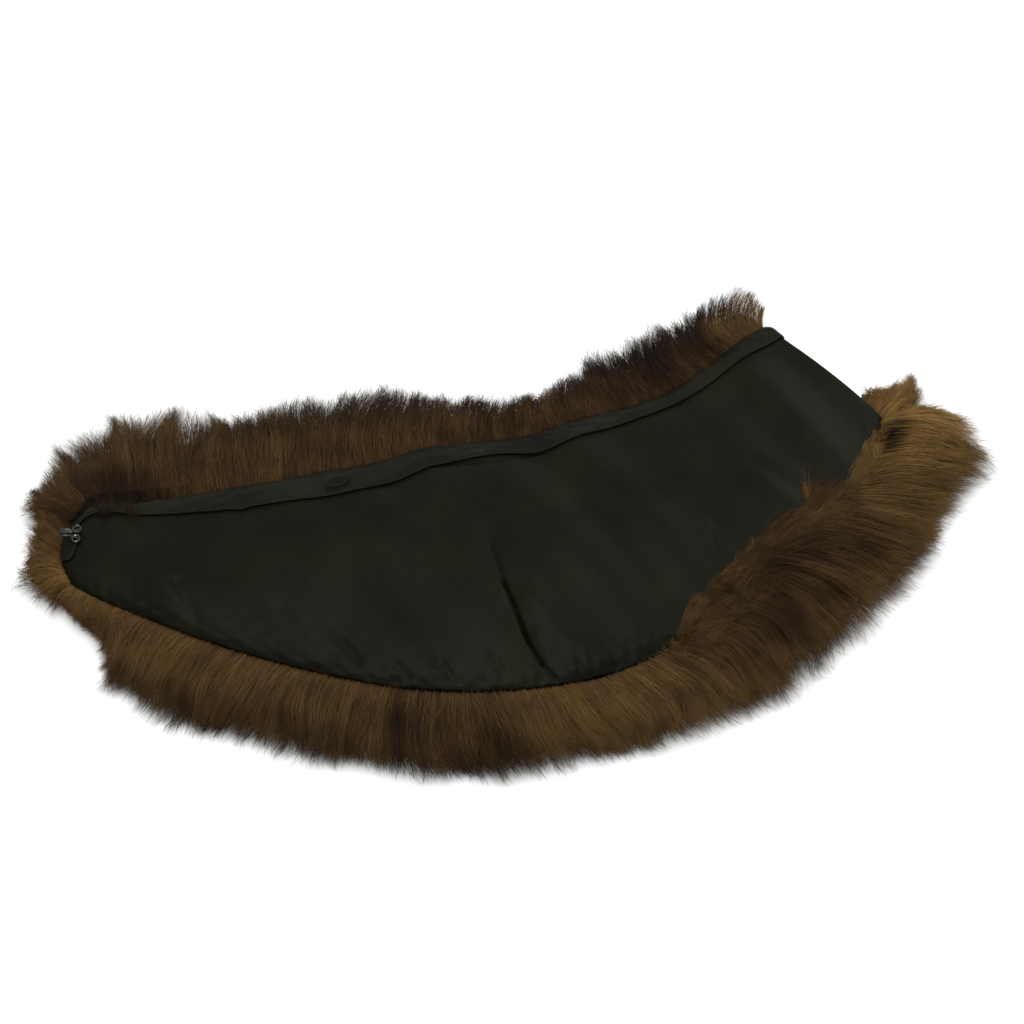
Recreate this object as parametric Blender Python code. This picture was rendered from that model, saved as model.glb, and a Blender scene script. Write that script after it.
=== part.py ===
"""Fur collar wrap, folded in half at its centre back and laid flat with the lining up.

Long fur reaches past the neck edge, the tip and the outer edge. The folded edge is at the right (+X), the
tip with its hook at the left, the neck edge at the back (+Y) and the outer edge at the front (-Y).
The tables are in millimetres, and the meshes in metres.
"""

import math
from collections import namedtuple

import bmesh
import bpy
import numpy as np
from mathutils import Vector

MM = 0.001

# Cloth and clearances
LINING_WALL = 1.2
BAND_WALL = 1.0
GAP = 0.3

# Across the neck band from its edge to its seam: share of its width, and how far it lifts off the lining
BAND_SECTION = ((0.0, 0.1), (0.15, 0.25), (0.35, 0.35), (0.6, 0.4), (0.85, 0.25), (1.0, 0.1))
BAND_EDGE = 0.012

# The band's turn round the tip: the row where it turns, the places of its edge at the corner (share of
# that row, share of the way across), and the places across the tip down to its cut end
BAND_TURN_ROW = 0.035
BAND_CORNER = ((0.50, 0.015), (0.12, 0.06))
BAND_TIP_EDGE = 0.10
BAND_TIP_ACROSS = (0.28, 0.42, 0.56, 0.66)

# Cross sections of the folded half from the tip to the fold: both edges of the lining, the way from
# each edge to the tips of its fur, the height of the edges, the crown between them, the width of the
# neck band, and how far the fur lies back over the lining at the outer edge
Station = namedtuple(
    "Station",
    "neck_x neck_y outer_x outer_y neck_fur_x neck_fur_y outer_fur_x outer_fur_y edge crown band over",
)
STATIONS = [
    Station(-214, -7, -213, -43, -26, 15, -25, -3, 15, 2, 8, 0),
    Station(-205, 5, -196, -54, -21, 46, -9, -18, 17, 3, 9, 0),
    Station(-184, 5, -172, -66, -9, 62, -9, -36, 18, 5, 12, 0),
    Station(-154, 9, -142, -80, -8, 58, -8, -42, 19, 7, 16, 0),
    Station(-124, 15, -110, -92, -5, 57, -5, -41, 20, 9, 19, 0),
    Station(-94, 22, -78, -101, -2, 57, -2, -42, 20, 10, 21, 0),
    Station(-66, 29, -46, -107, 0, 53, 0, -42, 20, 10, 21, 0),
    Station(-42, 37, -14, -109, 2, 46, 10, -39, 21, 10, 17, 0),
    Station(-14, 41, 18, -106, 1, 38, 18, -33, 21, 10, 14, 0),
    Station(12, 46, 48, -99, -2, 34, 24, -31, 22, 10, 16, 0),
    Station(38, 56, 76, -85, -8, 40, 30, -33, 22, 9, 14, 8),
    Station(64, 65, 102, -65, -12, 47, 36, -34, 22, 8, 13, 16),
    Station(88, 78, 126, -43, -14, 45, 43, -28, 23, 7, 12, 16),
    Station(106, 95, 149, -21, -12, 38, 49, -14, 23, 6, 12, 15),
    Station(119, 108, 171, 6, -4, 37, 53, 6, 23, 4, 13, 11),
    Station(130, 117, 187, 54, -4, 25, 57, -12, 22, 2, 13, 6),
]
ROWS_PER_STATION = 4
ACROSS = (0.0, 0.025, 0.08, 0.20, 0.35, 0.50, 0.65, 0.80, 0.92, 0.975, 1.0)
TIP_ROWS = 1.0 / 15.0
TIP_DEPTH = 18.0
TIP_BULGE = 6.0
EDGE_DROP = 2.5
EDGE_DROP_WIDTH = 3.0
TIP_DROP_SHARE = 0.6
FOLD_FADE = 8.0

# Soft troughs (negative) and ridges in the lining: both ends, height and half-width
Fold = namedtuple("Fold", "x0 y0 x1 y1 height width")
FOLDS = [
    Fold(-14, -24, -2, -66, -2.2, 5.0),
    Fold(-2, -66, 22, -103, -2.6, 5.0),
    Fold(-2, -30, 12, -66, 1.4, 7.0),
    Fold(10, -64, 34, -98, 1.6, 7.0),
    Fold(-82, -78, -72, -92, -1.2, 4.0),
    Fold(-36, -92, -25, -106, -1.2, 4.0),
    Fold(-8, -90, -1, -102, -0.9, 4.0),
    Fold(30, -92, 36, -102, -0.9, 4.0),
    Fold(-182, -34, -164, -56, 1.4, 9.0),
    Fold(-146, -6, -138, -44, -1.3, 9.0),
    Fold(56, 40, 92, -20, 1.2, 18.0),
    Fold(-70, -20, -20, 12, 1.3, 22.0),
]

# The fold at the centre back: a roll of lining that bulges out past the fold line and comes down to
# the lower panel
ROLL_BULGE = 3.2
ROLL_BULGE_AT_ENDS = 1.2
ROLL_INSET = 0.006
CORNER_CLEARANCE = 1.8
ROLL_END = math.radians(150)
ROLL_ROWS = 5
FOLD_FOOT_INSET = 1.0
LOWER_FOLD_INSET = 0.7
NORMAL_STEP = 0.004

# The rim of fur, ring by ring from the upper seam over the upper layer, into the groove between the
# layers, over the lower layer and back along the floor: distance out from the seam, share of the fur's
# reach, how much the length of each lock counts, height as a share of the edge's, more height, the
# relief of the locks, the effect of fur that lies back over the lining, and the layer
Ring = namedtuple("Ring", "out share jag level rise ridge over_out over_rise layer")
RIM = [
    Ring(1.2, 0.00, 0.0, 1.00, -1.6, 0.0, 0.0, 0.00, 0),
    Ring(2.0, 0.00, 0.0, 1.00, 0.9, 0.0, 0.0, 0.00, 0),
    Ring(3.0, 0.02, 0.0, 1.00, 1.9, 0.1, -1.2, 0.42, 0),
    Ring(2.0, 0.32, 0.0, 1.05, 1.8, 0.9, -0.3, 0.24, 0),
    Ring(1.0, 0.70, 0.5, 0.86, 0.6, 1.2, 0.0, 0.08, 0),
    Ring(0.0, 1.00, 1.0, 0.44, 0.0, 0.2, 0.0, 0.00, 0),
    Ring(0.0, 0.82, 0.8, 0.34, 0.0, 0.0, 0.0, 0.00, 0),
    Ring(0.0, 0.64, 0.3, 0.28, 0.0, 0.0, 0.0, 0.00, 0),
    Ring(0.0, 0.84, 0.8, 0.22, 0.0, 0.3, 0.0, 0.00, 1),
    Ring(0.0, 1.00, 1.0, 0.05, 0.3, 0.0, 0.0, 0.00, 1),
    Ring(0.0, 0.84, 0.8, 0.00, 0.0, 0.0, 0.0, 0.00, 1),
    Ring(0.2, 0.00, 0.0, 0.00, 0.0, 0.0, 0.0, 0.00, 1),
]
LOCK_SPACING = 4.4
LOCK_COLUMNS = (2, 6)
LOCK_LENGTHS = (0.45, 1.0)
LOCK_PEAK = (0.35, 0.65)
LOCK_ROUNDNESS = 1.4
LOCK_UNEVENNESS = 0.2
LOCK_RELIEF = 3.0
LOCK_SHORTEST = 0.82
LOCK_BEND = 3.0
LEAN_POWER = 1.4
EDGE_STEPS = 60
EDGE_WAY_STEP = 0.01
TIP_COLUMNS = 16
CORNER_COLUMNS = 8
CORNER_FUR_END = (6.0, 38.0)
LOCK_SEED = 11

# Hook of bent wire at the tip, and the thread eye on the neck band
HOOK_AT = (-212.0, -18.0)
HOOK_WIRE = 1.0
HOOK_RING = 1.9
HOOK_RING_SPREAD = 2.9
HOOK_RING_START = 300
HOOK_RING_TURN = 270
HOOK_RING_STEPS = 10
HOOK_SHANK = 6.5
HOOK_SHANK_HALF = 0.75
HOOK_BEND = 1.3
HOOK_BEND_STEPS = 5
HOOK_BILL = 4.0
HOOK_BILL_RISE = 2.6
HOOK_BILL_FLARE = 0.25
EYE_AT = (-86.0, 9.5)
EYE_LENGTH = 12.5
EYE_HEIGHT = 5.0
EYE_THREAD = 1.0
EYE_TURN = 0.30
EYE_OPENING = 12
EYE_STEPS = 20
EYE_POINTEDNESS = 0.25
EYE_FLATNESS = 0.75
LIFT_OVER_BAND = 0.5
SEARCH_ROWS = 120
SEARCH_ACROSS = 40

COLORS = {
    "lining": (0.014, 0.014, 0.011),
    "band": (0.018, 0.019, 0.016),
    "fur": (0.060, 0.028, 0.011),
    "metal": (0.45, 0.44, 0.40),
    "thread": (0.020, 0.022, 0.018),
}


def clear_scene():
    for obj in list(bpy.data.objects):
        bpy.data.objects.remove(obj, do_unlink=True)


def material(name, color, roughness, metallic=0.0):
    mat = bpy.data.materials.new(name)
    mat.use_nodes = True
    shader = mat.node_tree.nodes["Principled BSDF"]
    shader.inputs["Base Color"].default_value = (*color, 1.0)
    shader.inputs["Roughness"].default_value = roughness
    shader.inputs["Metallic"].default_value = metallic
    return mat


def station_value(name, s):
    """A column of the station table at s, 0 at the tip and 1 at the fold, on a smooth curve."""
    values = [getattr(station, name) for station in STATIONS]
    last = len(values) - 1
    place = min(max(s, 0.0), 1.0) * last
    i = min(int(place), last - 1)
    f = place - i
    before, a, b, after = (values[min(max(k, 0), last)] for k in (i - 1, i, i + 1, i + 2))
    slope_a = (b - before) / 2
    slope_b = (after - a) / 2
    return (
        a * (2 * f**3 - 3 * f**2 + 1)
        + b * (3 * f**2 - 2 * f**3)
        + slope_a * (f**3 - 2 * f**2 + f)
        + slope_b * (f**3 - f**2)
    )


def neck(s):
    return np.array([station_value("neck_x", s), station_value("neck_y", s)])


def outer(s):
    return np.array([station_value("outer_x", s), station_value("outer_y", s)])


def plan_point(s, t):
    """A point of the lining seen from above: t runs from the neck edge to the outer edge."""
    start, end = neck(s), outer(s)
    bulge = TIP_BULGE * math.sin(math.pi * t) * max(0.0, 1.0 - s / TIP_ROWS)
    return start + (end - start) * t - np.array([bulge, 0.0])


def fold_height(x, y):
    height = 0.0
    for fold in FOLDS:
        run = np.array([fold.x1 - fold.x0, fold.y1 - fold.y0])
        way = np.array([x - fold.x0, y - fold.y0])
        along = float(way @ run) / float(run @ run)
        nearest = min(max(along, 0.0), 1.0)
        aside = np.linalg.norm(way - run * nearest)
        height += fold.height * math.exp(-((aside / fold.width) ** 2))
    return height


def panel_point(s, t):
    """A point of the upper lining's outer face, up to the fold line."""
    x, y = plan_point(s, t)
    width = np.linalg.norm(outer(s) - neck(s))
    to_edge = width * min(t, 1.0 - t)
    to_tip = TIP_DEPTH * s / TIP_ROWS
    crown = station_value("crown", s) * (1.0 - (2.0 * t - 1.0) ** 2)
    edge_drop = math.exp(-to_edge / EDGE_DROP_WIDTH)
    tip_drop = math.exp(-to_tip / EDGE_DROP_WIDTH) * TIP_DROP_SHARE
    drop = EDGE_DROP * min(edge_drop + tip_drop, 1.0)
    folds = fold_height(x, y) * (1.0 - math.exp(-min(to_edge, to_tip) / FOLD_FADE))
    return np.array([x, y, station_value("edge", s) + crown - drop + folds])


def roll_bulge(t):
    return ROLL_BULGE_AT_ENDS + (ROLL_BULGE - ROLL_BULGE_AT_ENDS) * math.sin(math.pi * t)


def fold_along():
    along = outer(1.0) - neck(1.0)
    return along / np.linalg.norm(along)


def fold_outward():
    along = fold_along()
    return np.array([-along[1], along[0]])


def surface_point(row, t):
    """The lining's outer face: row 0 to 1 is the panel, and 1 to 2 goes down round the fold."""
    if row <= 1.0:
        return panel_point(row, t)
    top = panel_point(1.0, t)
    angle = (row - 1.0) * ROLL_END
    out = roll_bulge(t) * math.sin(angle)
    place = top[:2] + fold_outward() * out
    return np.array([place[0], place[1], top[2] * (1.0 + math.cos(angle)) / 2.0])


def surface_normal(row, t):
    step = NORMAL_STEP
    low_row = max(row - step, 0.0) if row <= 1.0 else min(row, 2.0 - step)
    along = surface_point(low_row + step, t) - surface_point(low_row, t)
    across = surface_point(row, min(t + step, 1.0)) - surface_point(row, max(t - step, 0.0))
    normal = np.cross(across, along)
    return normal / np.linalg.norm(normal)


def inward(row, t, depth):
    """A point below the outer face by the depth, measured square to the face."""
    return surface_point(row, t) - surface_normal(row, t) * depth


def grid_rows():
    count = (len(STATIONS) - 1) * ROWS_PER_STATION
    panel = [i / count for i in range(count + 1)]
    return panel + [1.0 + (i + 1) / ROLL_ROWS for i in range(ROLL_ROWS)]


def new_vertex(mesh, point):
    return mesh.verts.new(Vector(point) * MM)


def new_face(mesh, corners):
    distinct = list(dict.fromkeys(corners))
    if len(distinct) >= 3:
        mesh.faces.new(distinct)


def fill_grid(mesh, grid):
    """Two triangles for each cell, always split the same way, so that offset grids never cross."""
    for low, high in zip(grid, grid[1:]):
        for j in range(len(low) - 1):
            new_face(mesh, (low[j], low[j + 1], high[j + 1]))
            new_face(mesh, (low[j], high[j + 1], high[j]))


def fill_between(mesh, line_a, line_b):
    """Triangles between two rows of (place, vertex) pairs with their own spacing."""
    i = j = 0
    while i < len(line_a) - 1 or j < len(line_b) - 1:
        next_a = line_a[i + 1][0] if i < len(line_a) - 1 else math.inf
        next_b = line_b[j + 1][0] if j < len(line_b) - 1 else math.inf
        if next_a <= next_b:
            new_face(mesh, (line_a[i][1], line_a[i + 1][1], line_b[j][1]))
            i += 1
        else:
            new_face(mesh, (line_a[i][1], line_b[j + 1][1], line_b[j][1]))
            j += 1


def finish_mesh(mesh, name, mat, sharp_degrees=50):
    bmesh.ops.triangulate(mesh, faces=mesh.faces[:])
    bmesh.ops.recalc_face_normals(mesh, faces=mesh.faces[:])
    data = bpy.data.meshes.new(name)
    mesh.to_mesh(data)
    mesh.free()
    data.shade_smooth()
    data.set_sharp_from_angle(angle=math.radians(sharp_degrees))
    data.materials.append(mat)
    obj = bpy.data.objects.new(name, data)
    bpy.context.scene.collection.objects.link(obj)
    return obj


def close_sheet(name, outer_points, inner_points, mat):
    """A thin wall between two grids of points, closed along its four edges."""
    mesh = bmesh.new()
    outside = [[new_vertex(mesh, point) for point in row] for row in outer_points]
    inside = [[new_vertex(mesh, point) for point in row] for row in inner_points]
    fill_grid(mesh, outside)
    fill_grid(mesh, inside)
    for a, b in ((outside[0], inside[0]), (outside[-1], inside[-1])):
        fill_grid(mesh, [a, b])
    for j in (0, -1):
        fill_grid(mesh, [[row[j] for row in outside], [row[j] for row in inside]])
    return finish_mesh(mesh, name, mat)


def make_lining_upper(mat):
    rows = grid_rows()
    outside, inside = [], []
    for row in rows:
        inset = ROLL_INSET if row > 1.0 else 0.0
        across = [inset + t * (1.0 - 2.0 * inset) for t in ACROSS]
        outside.append([surface_point(row, t) for t in across])
        inside.append([inward(row, t, LINING_WALL) for t in across])
    return close_sheet("lining_upper", outside, inside, mat)


def band_share(s):
    """Where the neck band's seam lies, as a share of the way across the lining."""
    width = np.linalg.norm(outer(s) - neck(s))
    return station_value("band", s) / width


def band_pairs():
    """Places (row, t) on the band's outer edge and on its seam, from the fold's foot round the tip."""
    turn = BAND_TURN_ROW
    rows = [row for row in reversed(grid_rows()) if row > turn]
    pairs = [((row, BAND_EDGE), (row, band_share(min(row, 1.0)))) for row in rows]
    pairs += [((share * turn, t), (turn, band_share(turn))) for share, t in BAND_CORNER]
    pairs += [((BAND_TIP_EDGE * turn, t), (turn, t)) for t in BAND_TIP_ACROSS]
    return pairs


def make_neck_band(mat):
    outside, inside = [], []
    for edge, seam in band_pairs():
        places = [tuple(a + (b - a) * share for a, b in zip(edge, seam)) for share, _ in BAND_SECTION]
        lifts = [(place, lift) for place, (_, lift) in zip(places, BAND_SECTION)]
        outside.append([inward(*place, -(GAP + BAND_WALL + lift)) for place, lift in lifts])
        inside.append([inward(*place, -(GAP + lift)) for place, lift in lifts])
    return close_sheet("neck_band", outside, inside, mat)


def make_lining_lower(mat):
    """The lower half's lining, flat on the surface under the fur."""
    count = (len(STATIONS) - 1) * ROWS_PER_STATION
    steps = [i / count for i in range(count + 1)]
    outline = [plan_point(s, 0.0) for s in reversed(steps)]
    outline += [plan_point(0.0, t) for t in ACROSS[1:-1]]
    outline += [plan_point(s, 1.0) for s in steps]
    for t in reversed(ACROSS[1:-1]):
        bulge = roll_bulge(t) * math.sin(ROLL_END) - LOWER_FOLD_INSET
        outline.append(plan_point(1.0, t) + fold_outward() * bulge)
    mesh = bmesh.new()
    loops = []
    for z in (0.0, LINING_WALL):
        loop = []
        for i, point in enumerate(outline):
            before, after = outline[i - 1], outline[(i + 1) % len(outline)]
            run = after - before
            side = np.array([-run[1], run[0]]) / np.linalg.norm(run)
            loop.append(new_vertex(mesh, (*(point + side * GAP), z)))
        loops.append(loop)
    for loop in loops:
        mesh.faces.new(loop)
    fill_grid(mesh, [loops[0] + loops[0][:1], loops[1] + loops[1][:1]])
    return finish_mesh(mesh, "lining_lower", mat)


def locks(count, rng):
    """For each column of the rim its place in its lock, 0 in a groove and 1 on the crest, and the
    lock's own length and bend."""
    shape = []
    while len(shape) < count:
        columns = int(rng.integers(LOCK_COLUMNS[0], LOCK_COLUMNS[1] + 1))
        length = rng.uniform(*LOCK_LENGTHS)
        bend = rng.uniform(-1.0, 1.0)
        peak = rng.uniform(*LOCK_PEAK)
        for k in range(columns):
            place = (k + 0.5) / columns
            aside = (place - peak) / (peak if place < peak else 1.0 - peak)
            crest = (1.0 - abs(aside) ** LOCK_ROUNDNESS) * rng.uniform(1.0 - LOCK_UNEVENNESS, 1.0)
            shape.append((crest, length, bend))
    return shape[:count]


def turned(start, end, share):
    """Between two ways, by angle and by length."""
    a, b = math.atan2(start[1], start[0]), math.atan2(end[1], end[0])
    if b - a > math.pi:
        b -= 2 * math.pi
    if a - b > math.pi:
        b += 2 * math.pi
    angle = a + (b - a) * share
    length = np.linalg.norm(start) + (np.linalg.norm(end) - np.linalg.norm(start)) * share
    return np.array([math.cos(angle), math.sin(angle)]) * length


def fur_way(side, s):
    return np.array([station_value(f"{side}_fur_x", s), station_value(f"{side}_fur_y", s)])


def rim_columns():
    """Every column of fur round the rim, from the fold's neck corner by the tip to its outer corner:
    (place, foot, way to the tips, way out from the seam, over)."""
    columns = []

    def edge_columns(side, t, base, reverse):
        line = np.array([plan_point(i / EDGE_STEPS, t) for i in range(EDGE_STEPS + 1)])
        length = np.linalg.norm(np.diff(line, axis=0), axis=1).sum()
        count = round(length / LOCK_SPACING)
        for i in range(count + 1):
            along = i / count
            s = 1.0 - along if reverse else along
            before, after = max(s - EDGE_WAY_STEP, 0.0), min(s + EDGE_WAY_STEP, 1.0)
            run = plan_point(after, t) - plan_point(before, t)
            out = np.array([-run[1], run[0]]) if side == "neck" else np.array([run[1], -run[0]])
            over = station_value("over", s) if side == "outer" else 0.0
            foot = surface_point(s, t)
            if s == 1.0:
                foot[:2] += fold_along() * (CORNER_CLEARANCE if side == "outer" else -CORNER_CLEARANCE)
            columns.append((base + along, foot, fur_way(side, s), out / np.linalg.norm(out), over))

    edge_columns("neck", 0.0, 0.0, True)
    first, last = fur_way("neck", 0.0), fur_way("outer", 0.0)
    for i in range(1, TIP_COLUMNS):
        t = i / TIP_COLUMNS
        way = turned(first, last, t)
        columns.append((1.0 + t, surface_point(0.0, t), way, way / np.linalg.norm(way), 0.0))
    edge_columns("outer", 1.0, 2.0, False)
    start = fur_way("outer", 1.0)
    corner = columns[-1][1]
    for i in range(1, CORNER_COLUMNS + 1):
        way = turned(start, CORNER_FUR_END, i / CORNER_COLUMNS)
        over = STATIONS[-1].over * (1.0 - i / CORNER_COLUMNS)
        columns.append((3.0 + i / EDGE_STEPS, corner, way, way / np.linalg.norm(way), over))
    return columns


def rim_point(column, ring, lock):
    _, foot, way, out, over = column
    crest, length, bend = lock
    side = np.array([-out[1], out[0]])
    jagged = LOCK_SHORTEST + (1.0 - LOCK_SHORTEST) * crest * length
    share = ring.share * (1.0 + ring.jag * (jagged - 1.0))
    distance = ring.out + ring.over_out * over + float(way @ out) * share
    aside = float(way @ side) * share**LEAN_POWER + LOCK_BEND * bend * ring.jag * share**2
    place = foot[:2] + out * distance + side * aside
    height = foot[2] * ring.level + ring.rise + ring.over_rise * over
    height += LOCK_RELIEF * ring.ridge * (crest - 0.5)
    return (place[0], place[1], max(height, 0.0))


def make_fur(mat):
    """Both halves' fur as one rounded body between the linings, in two layers at its rim."""
    rng = np.random.default_rng(LOCK_SEED)
    rows = grid_rows()
    panel_rows = [row for row in rows if row <= 1.0]
    roll_rows = [row for row in rows if row > 1.0]
    depth = LINING_WALL + GAP
    mesh = bmesh.new()
    under_lining = [[inward(row, t, depth) for t in ACROSS] for row in panel_rows]
    for point in under_lining[-1]:
        point[:2] -= fold_outward() * depth
    top = [[new_vertex(mesh, point) for point in row] for row in under_lining]
    fill_grid(mesh, top)

    def foot_vertex(s, t):
        inset = FOLD_FOOT_INSET if s == 1.0 else 0.0
        x, y = plan_point(s, t) - fold_outward() * inset
        return new_vertex(mesh, (x, y, LINING_WALL + GAP))

    neck_foot = [foot_vertex(s, 0.0) for s in panel_rows]
    outer_foot = [foot_vertex(s, 1.0) for s in panel_rows]
    tip_foot = [neck_foot[0]] + [foot_vertex(0.0, t) for t in ACROSS[1:-1]] + [outer_foot[0]]
    fold_foot = [neck_foot[-1]] + [foot_vertex(1.0, t) for t in ACROSS[1:-1]] + [outer_foot[-1]]
    mesh.faces.new(neck_foot[::-1] + tip_foot[1:-1] + outer_foot + fold_foot[-2:0:-1])

    roll = [[new_vertex(mesh, inward(row, t, depth + GAP)) for t in ACROSS] for row in roll_rows]
    fill_grid(mesh, [top[-1]] + roll + [fold_foot])

    columns = rim_columns()
    layers = (locks(len(columns), rng), locks(len(columns), rng))
    rim = []
    for ring in RIM:
        line = [
            (column[0], new_vertex(mesh, rim_point(column, ring, layers[ring.layer][k])))
            for k, column in enumerate(columns)
        ]
        rim.append(line)
    top_edge = [(1.0 - s, top[i][0]) for i, s in enumerate(panel_rows)][::-1]
    top_edge += [(1.0 + t, top[0][j]) for j, t in enumerate(ACROSS)][1:-1]
    top_edge += [(2.0 + s, top[i][-1]) for i, s in enumerate(panel_rows)]
    foot_edge = [(1.0 - s, neck_foot[i]) for i, s in enumerate(panel_rows)][::-1]
    foot_edge += [(1.0 + t, tip_foot[j]) for j, t in enumerate(ACROSS)][1:-1]
    foot_edge += [(2.0 + s, outer_foot[i]) for i, s in enumerate(panel_rows)]
    fill_between(mesh, top_edge, rim[0])
    for line_a, line_b in zip(rim, rim[1:]):
        fill_grid(mesh, [[vertex for _, vertex in line_a], [vertex for _, vertex in line_b]])
    fill_between(mesh, rim[-1], foot_edge)
    for end in (0, -1):
        across_rim = [line[end][1] for line in rim]
        mesh.faces.new(across_rim)
        down_roll = [row[end] for row in roll[::-1]]
        mesh.faces.new([top[-1][end], across_rim[0], across_rim[-1], fold_foot[end], *down_roll])
    return finish_mesh(mesh, "fur", mat, 70)


def wire(name, points, thickness, mat, resolution=1):
    """A round wire or thread through the points, closed at both ends."""
    curve = bpy.data.curves.new(name, "CURVE")
    curve.dimensions = "3D"
    curve.bevel_depth = thickness / 2 * MM
    curve.bevel_resolution = resolution
    curve.use_fill_caps = True
    spline = curve.splines.new("POLY")
    spline.points.add(len(points) - 1)
    for place, point in zip(spline.points, points):
        place.co = (*(Vector(point) * MM), 1.0)
    curve.materials.append(mat)
    obj = bpy.data.objects.new(name, curve)
    bpy.context.scene.collection.objects.link(obj)
    return obj


def surface_near(x, y):
    """(row, t) of the panel's point above a place in the plan."""
    best = None
    for i in range(SEARCH_ROWS + 1):
        for j in range(SEARCH_ACROSS + 1):
            row, t = i / SEARCH_ROWS, j / SEARCH_ACROSS
            place = plan_point(row, t)
            distance = (place[0] - x) ** 2 + (place[1] - y) ** 2
            if best is None or distance < best[0]:
                best = (distance, row, t)
    return best[1:]


def height_over_band(x, y):
    """Just clear of the neck band that lies on the panel there."""
    return surface_point(*surface_near(x, y))[2] + GAP + BAND_WALL + GAP + LIFT_OVER_BAND


def make_hook(mat):
    """A dress hook: two sewing rings, and a double shank whose bill bends up and back."""
    x0, y0 = HOOK_AT
    half = HOOK_SHANK_HALF
    side = []
    for step in range(HOOK_RING_STEPS + 1):
        angle = math.radians(HOOK_RING_START - HOOK_RING_TURN * step / HOOK_RING_STEPS)
        side.append((HOOK_RING * math.cos(angle), HOOK_RING_SPREAD + HOOK_RING * math.sin(angle), 0.0))
    side.append((-HOOK_RING - HOOK_WIRE, half * 1.5, 0.0))
    side.append((-HOOK_SHANK, half, 0.0))
    for step in range(1, HOOK_BEND_STEPS + 1):
        angle = math.pi * step / HOOK_BEND_STEPS
        lift = HOOK_BILL_RISE / 2 * (1.0 - math.cos(angle))
        side.append((-HOOK_SHANK - HOOK_BEND * math.sin(angle), half, lift))
    side.append((-HOOK_SHANK + HOOK_BILL * 0.6, half, HOOK_BILL_RISE))
    side.append((-HOOK_SHANK + HOOK_BILL, half * 0.6, HOOK_BILL_RISE + HOOK_BILL_FLARE))
    other = [(x, -y, z) for x, y, z in reversed(side)]
    base = height_over_band(x0, y0) + HOOK_WIRE / 2
    points = [(x0 + x, y0 + y, base + z) for x, y, z in side + other]
    return wire("hook", points, HOOK_WIRE, mat)


def make_thread_eye(mat):
    """A lens-shaped loop of thread that lies on the neck band, open by a stitch at one end."""
    x0, y0 = EYE_AT
    points = []
    for step in range(EYE_STEPS):
        angle = math.radians(EYE_OPENING + (360 - 2 * EYE_OPENING) * step / (EYE_STEPS - 1))
        along = EYE_LENGTH / 2 * math.cos(angle)
        across = EYE_HEIGHT / 2 * math.sin(angle) * abs(math.sin(angle)) ** EYE_POINTEDNESS
        x = x0 + along * math.cos(EYE_TURN) - across * math.sin(EYE_TURN)
        y = y0 + along * math.sin(EYE_TURN) + across * math.cos(EYE_TURN)
        points.append((x, y, height_over_band(x, y) + EYE_THREAD / 2))
    level = max(point[2] for point in points) * EYE_FLATNESS
    points = [(x, y, (1.0 - EYE_FLATNESS) * z + level) for x, y, z in points]
    return wire("thread_eye", points, EYE_THREAD, mat)


def centre_on_origin(objects):
    """Puts the middle of the whole collar over the origin, with its underside at height 0."""
    graph = bpy.context.evaluated_depsgraph_get()
    corners = []
    for obj in objects:
        mesh = obj.evaluated_get(graph).to_mesh()
        corners += [tuple(vertex.co) for vertex in mesh.vertices]
    low, high = np.min(corners, axis=0), np.max(corners, axis=0)
    middle = (low + high) / 2
    for obj in objects:
        obj.location = (-middle[0], -middle[1], 0.0)


def main():
    clear_scene()
    lining = material("lining_satin", COLORS["lining"], 0.5)
    band = material("band_satin", COLORS["band"], 0.5)
    fur = material("fur", COLORS["fur"], 0.8)
    metal = material("hook_metal", COLORS["metal"], 0.3, 1.0)
    thread = material("eye_thread", COLORS["thread"], 0.7)
    objects = [
        make_lining_upper(lining),
        make_lining_lower(lining),
        make_neck_band(band),
        make_fur(fur),
        make_hook(metal),
        make_thread_eye(thread),
    ]
    bpy.context.view_layer.update()
    centre_on_origin(objects)


main()
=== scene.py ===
"""Looks of the folded fur collar: satin lining with its creases, neck band, hook, thread eye, and the fur.

The tables are in millimetres, in the frame of the collar's cutting table: the tip at the left (-X), the
fold at the centre back at the right (+X), the neck edge at the back (+Y). to_frame() moves a point into the
CAD frame.
"""

import math
from collections import namedtuple

import bpy
import numpy as np
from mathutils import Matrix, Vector


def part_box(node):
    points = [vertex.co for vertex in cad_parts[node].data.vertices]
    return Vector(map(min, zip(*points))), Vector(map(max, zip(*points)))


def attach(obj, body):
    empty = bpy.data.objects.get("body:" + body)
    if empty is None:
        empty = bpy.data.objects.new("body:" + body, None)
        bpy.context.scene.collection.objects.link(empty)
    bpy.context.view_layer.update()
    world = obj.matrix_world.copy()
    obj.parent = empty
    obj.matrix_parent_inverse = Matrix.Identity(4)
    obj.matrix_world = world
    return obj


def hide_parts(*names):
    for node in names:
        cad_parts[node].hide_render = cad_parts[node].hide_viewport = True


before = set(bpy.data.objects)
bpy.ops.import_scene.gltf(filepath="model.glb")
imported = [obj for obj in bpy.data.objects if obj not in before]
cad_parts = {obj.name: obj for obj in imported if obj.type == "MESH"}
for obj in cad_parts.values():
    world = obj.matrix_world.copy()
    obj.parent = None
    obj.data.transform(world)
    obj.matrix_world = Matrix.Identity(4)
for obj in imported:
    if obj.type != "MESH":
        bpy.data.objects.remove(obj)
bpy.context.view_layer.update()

MM = 0.001
UP = np.array([0.0, 0.0, 1.0])

# Cloth and clearances
GAP = 0.3
SATIN_WALL = 0.9
BAND_WALL = 0.8

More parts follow.
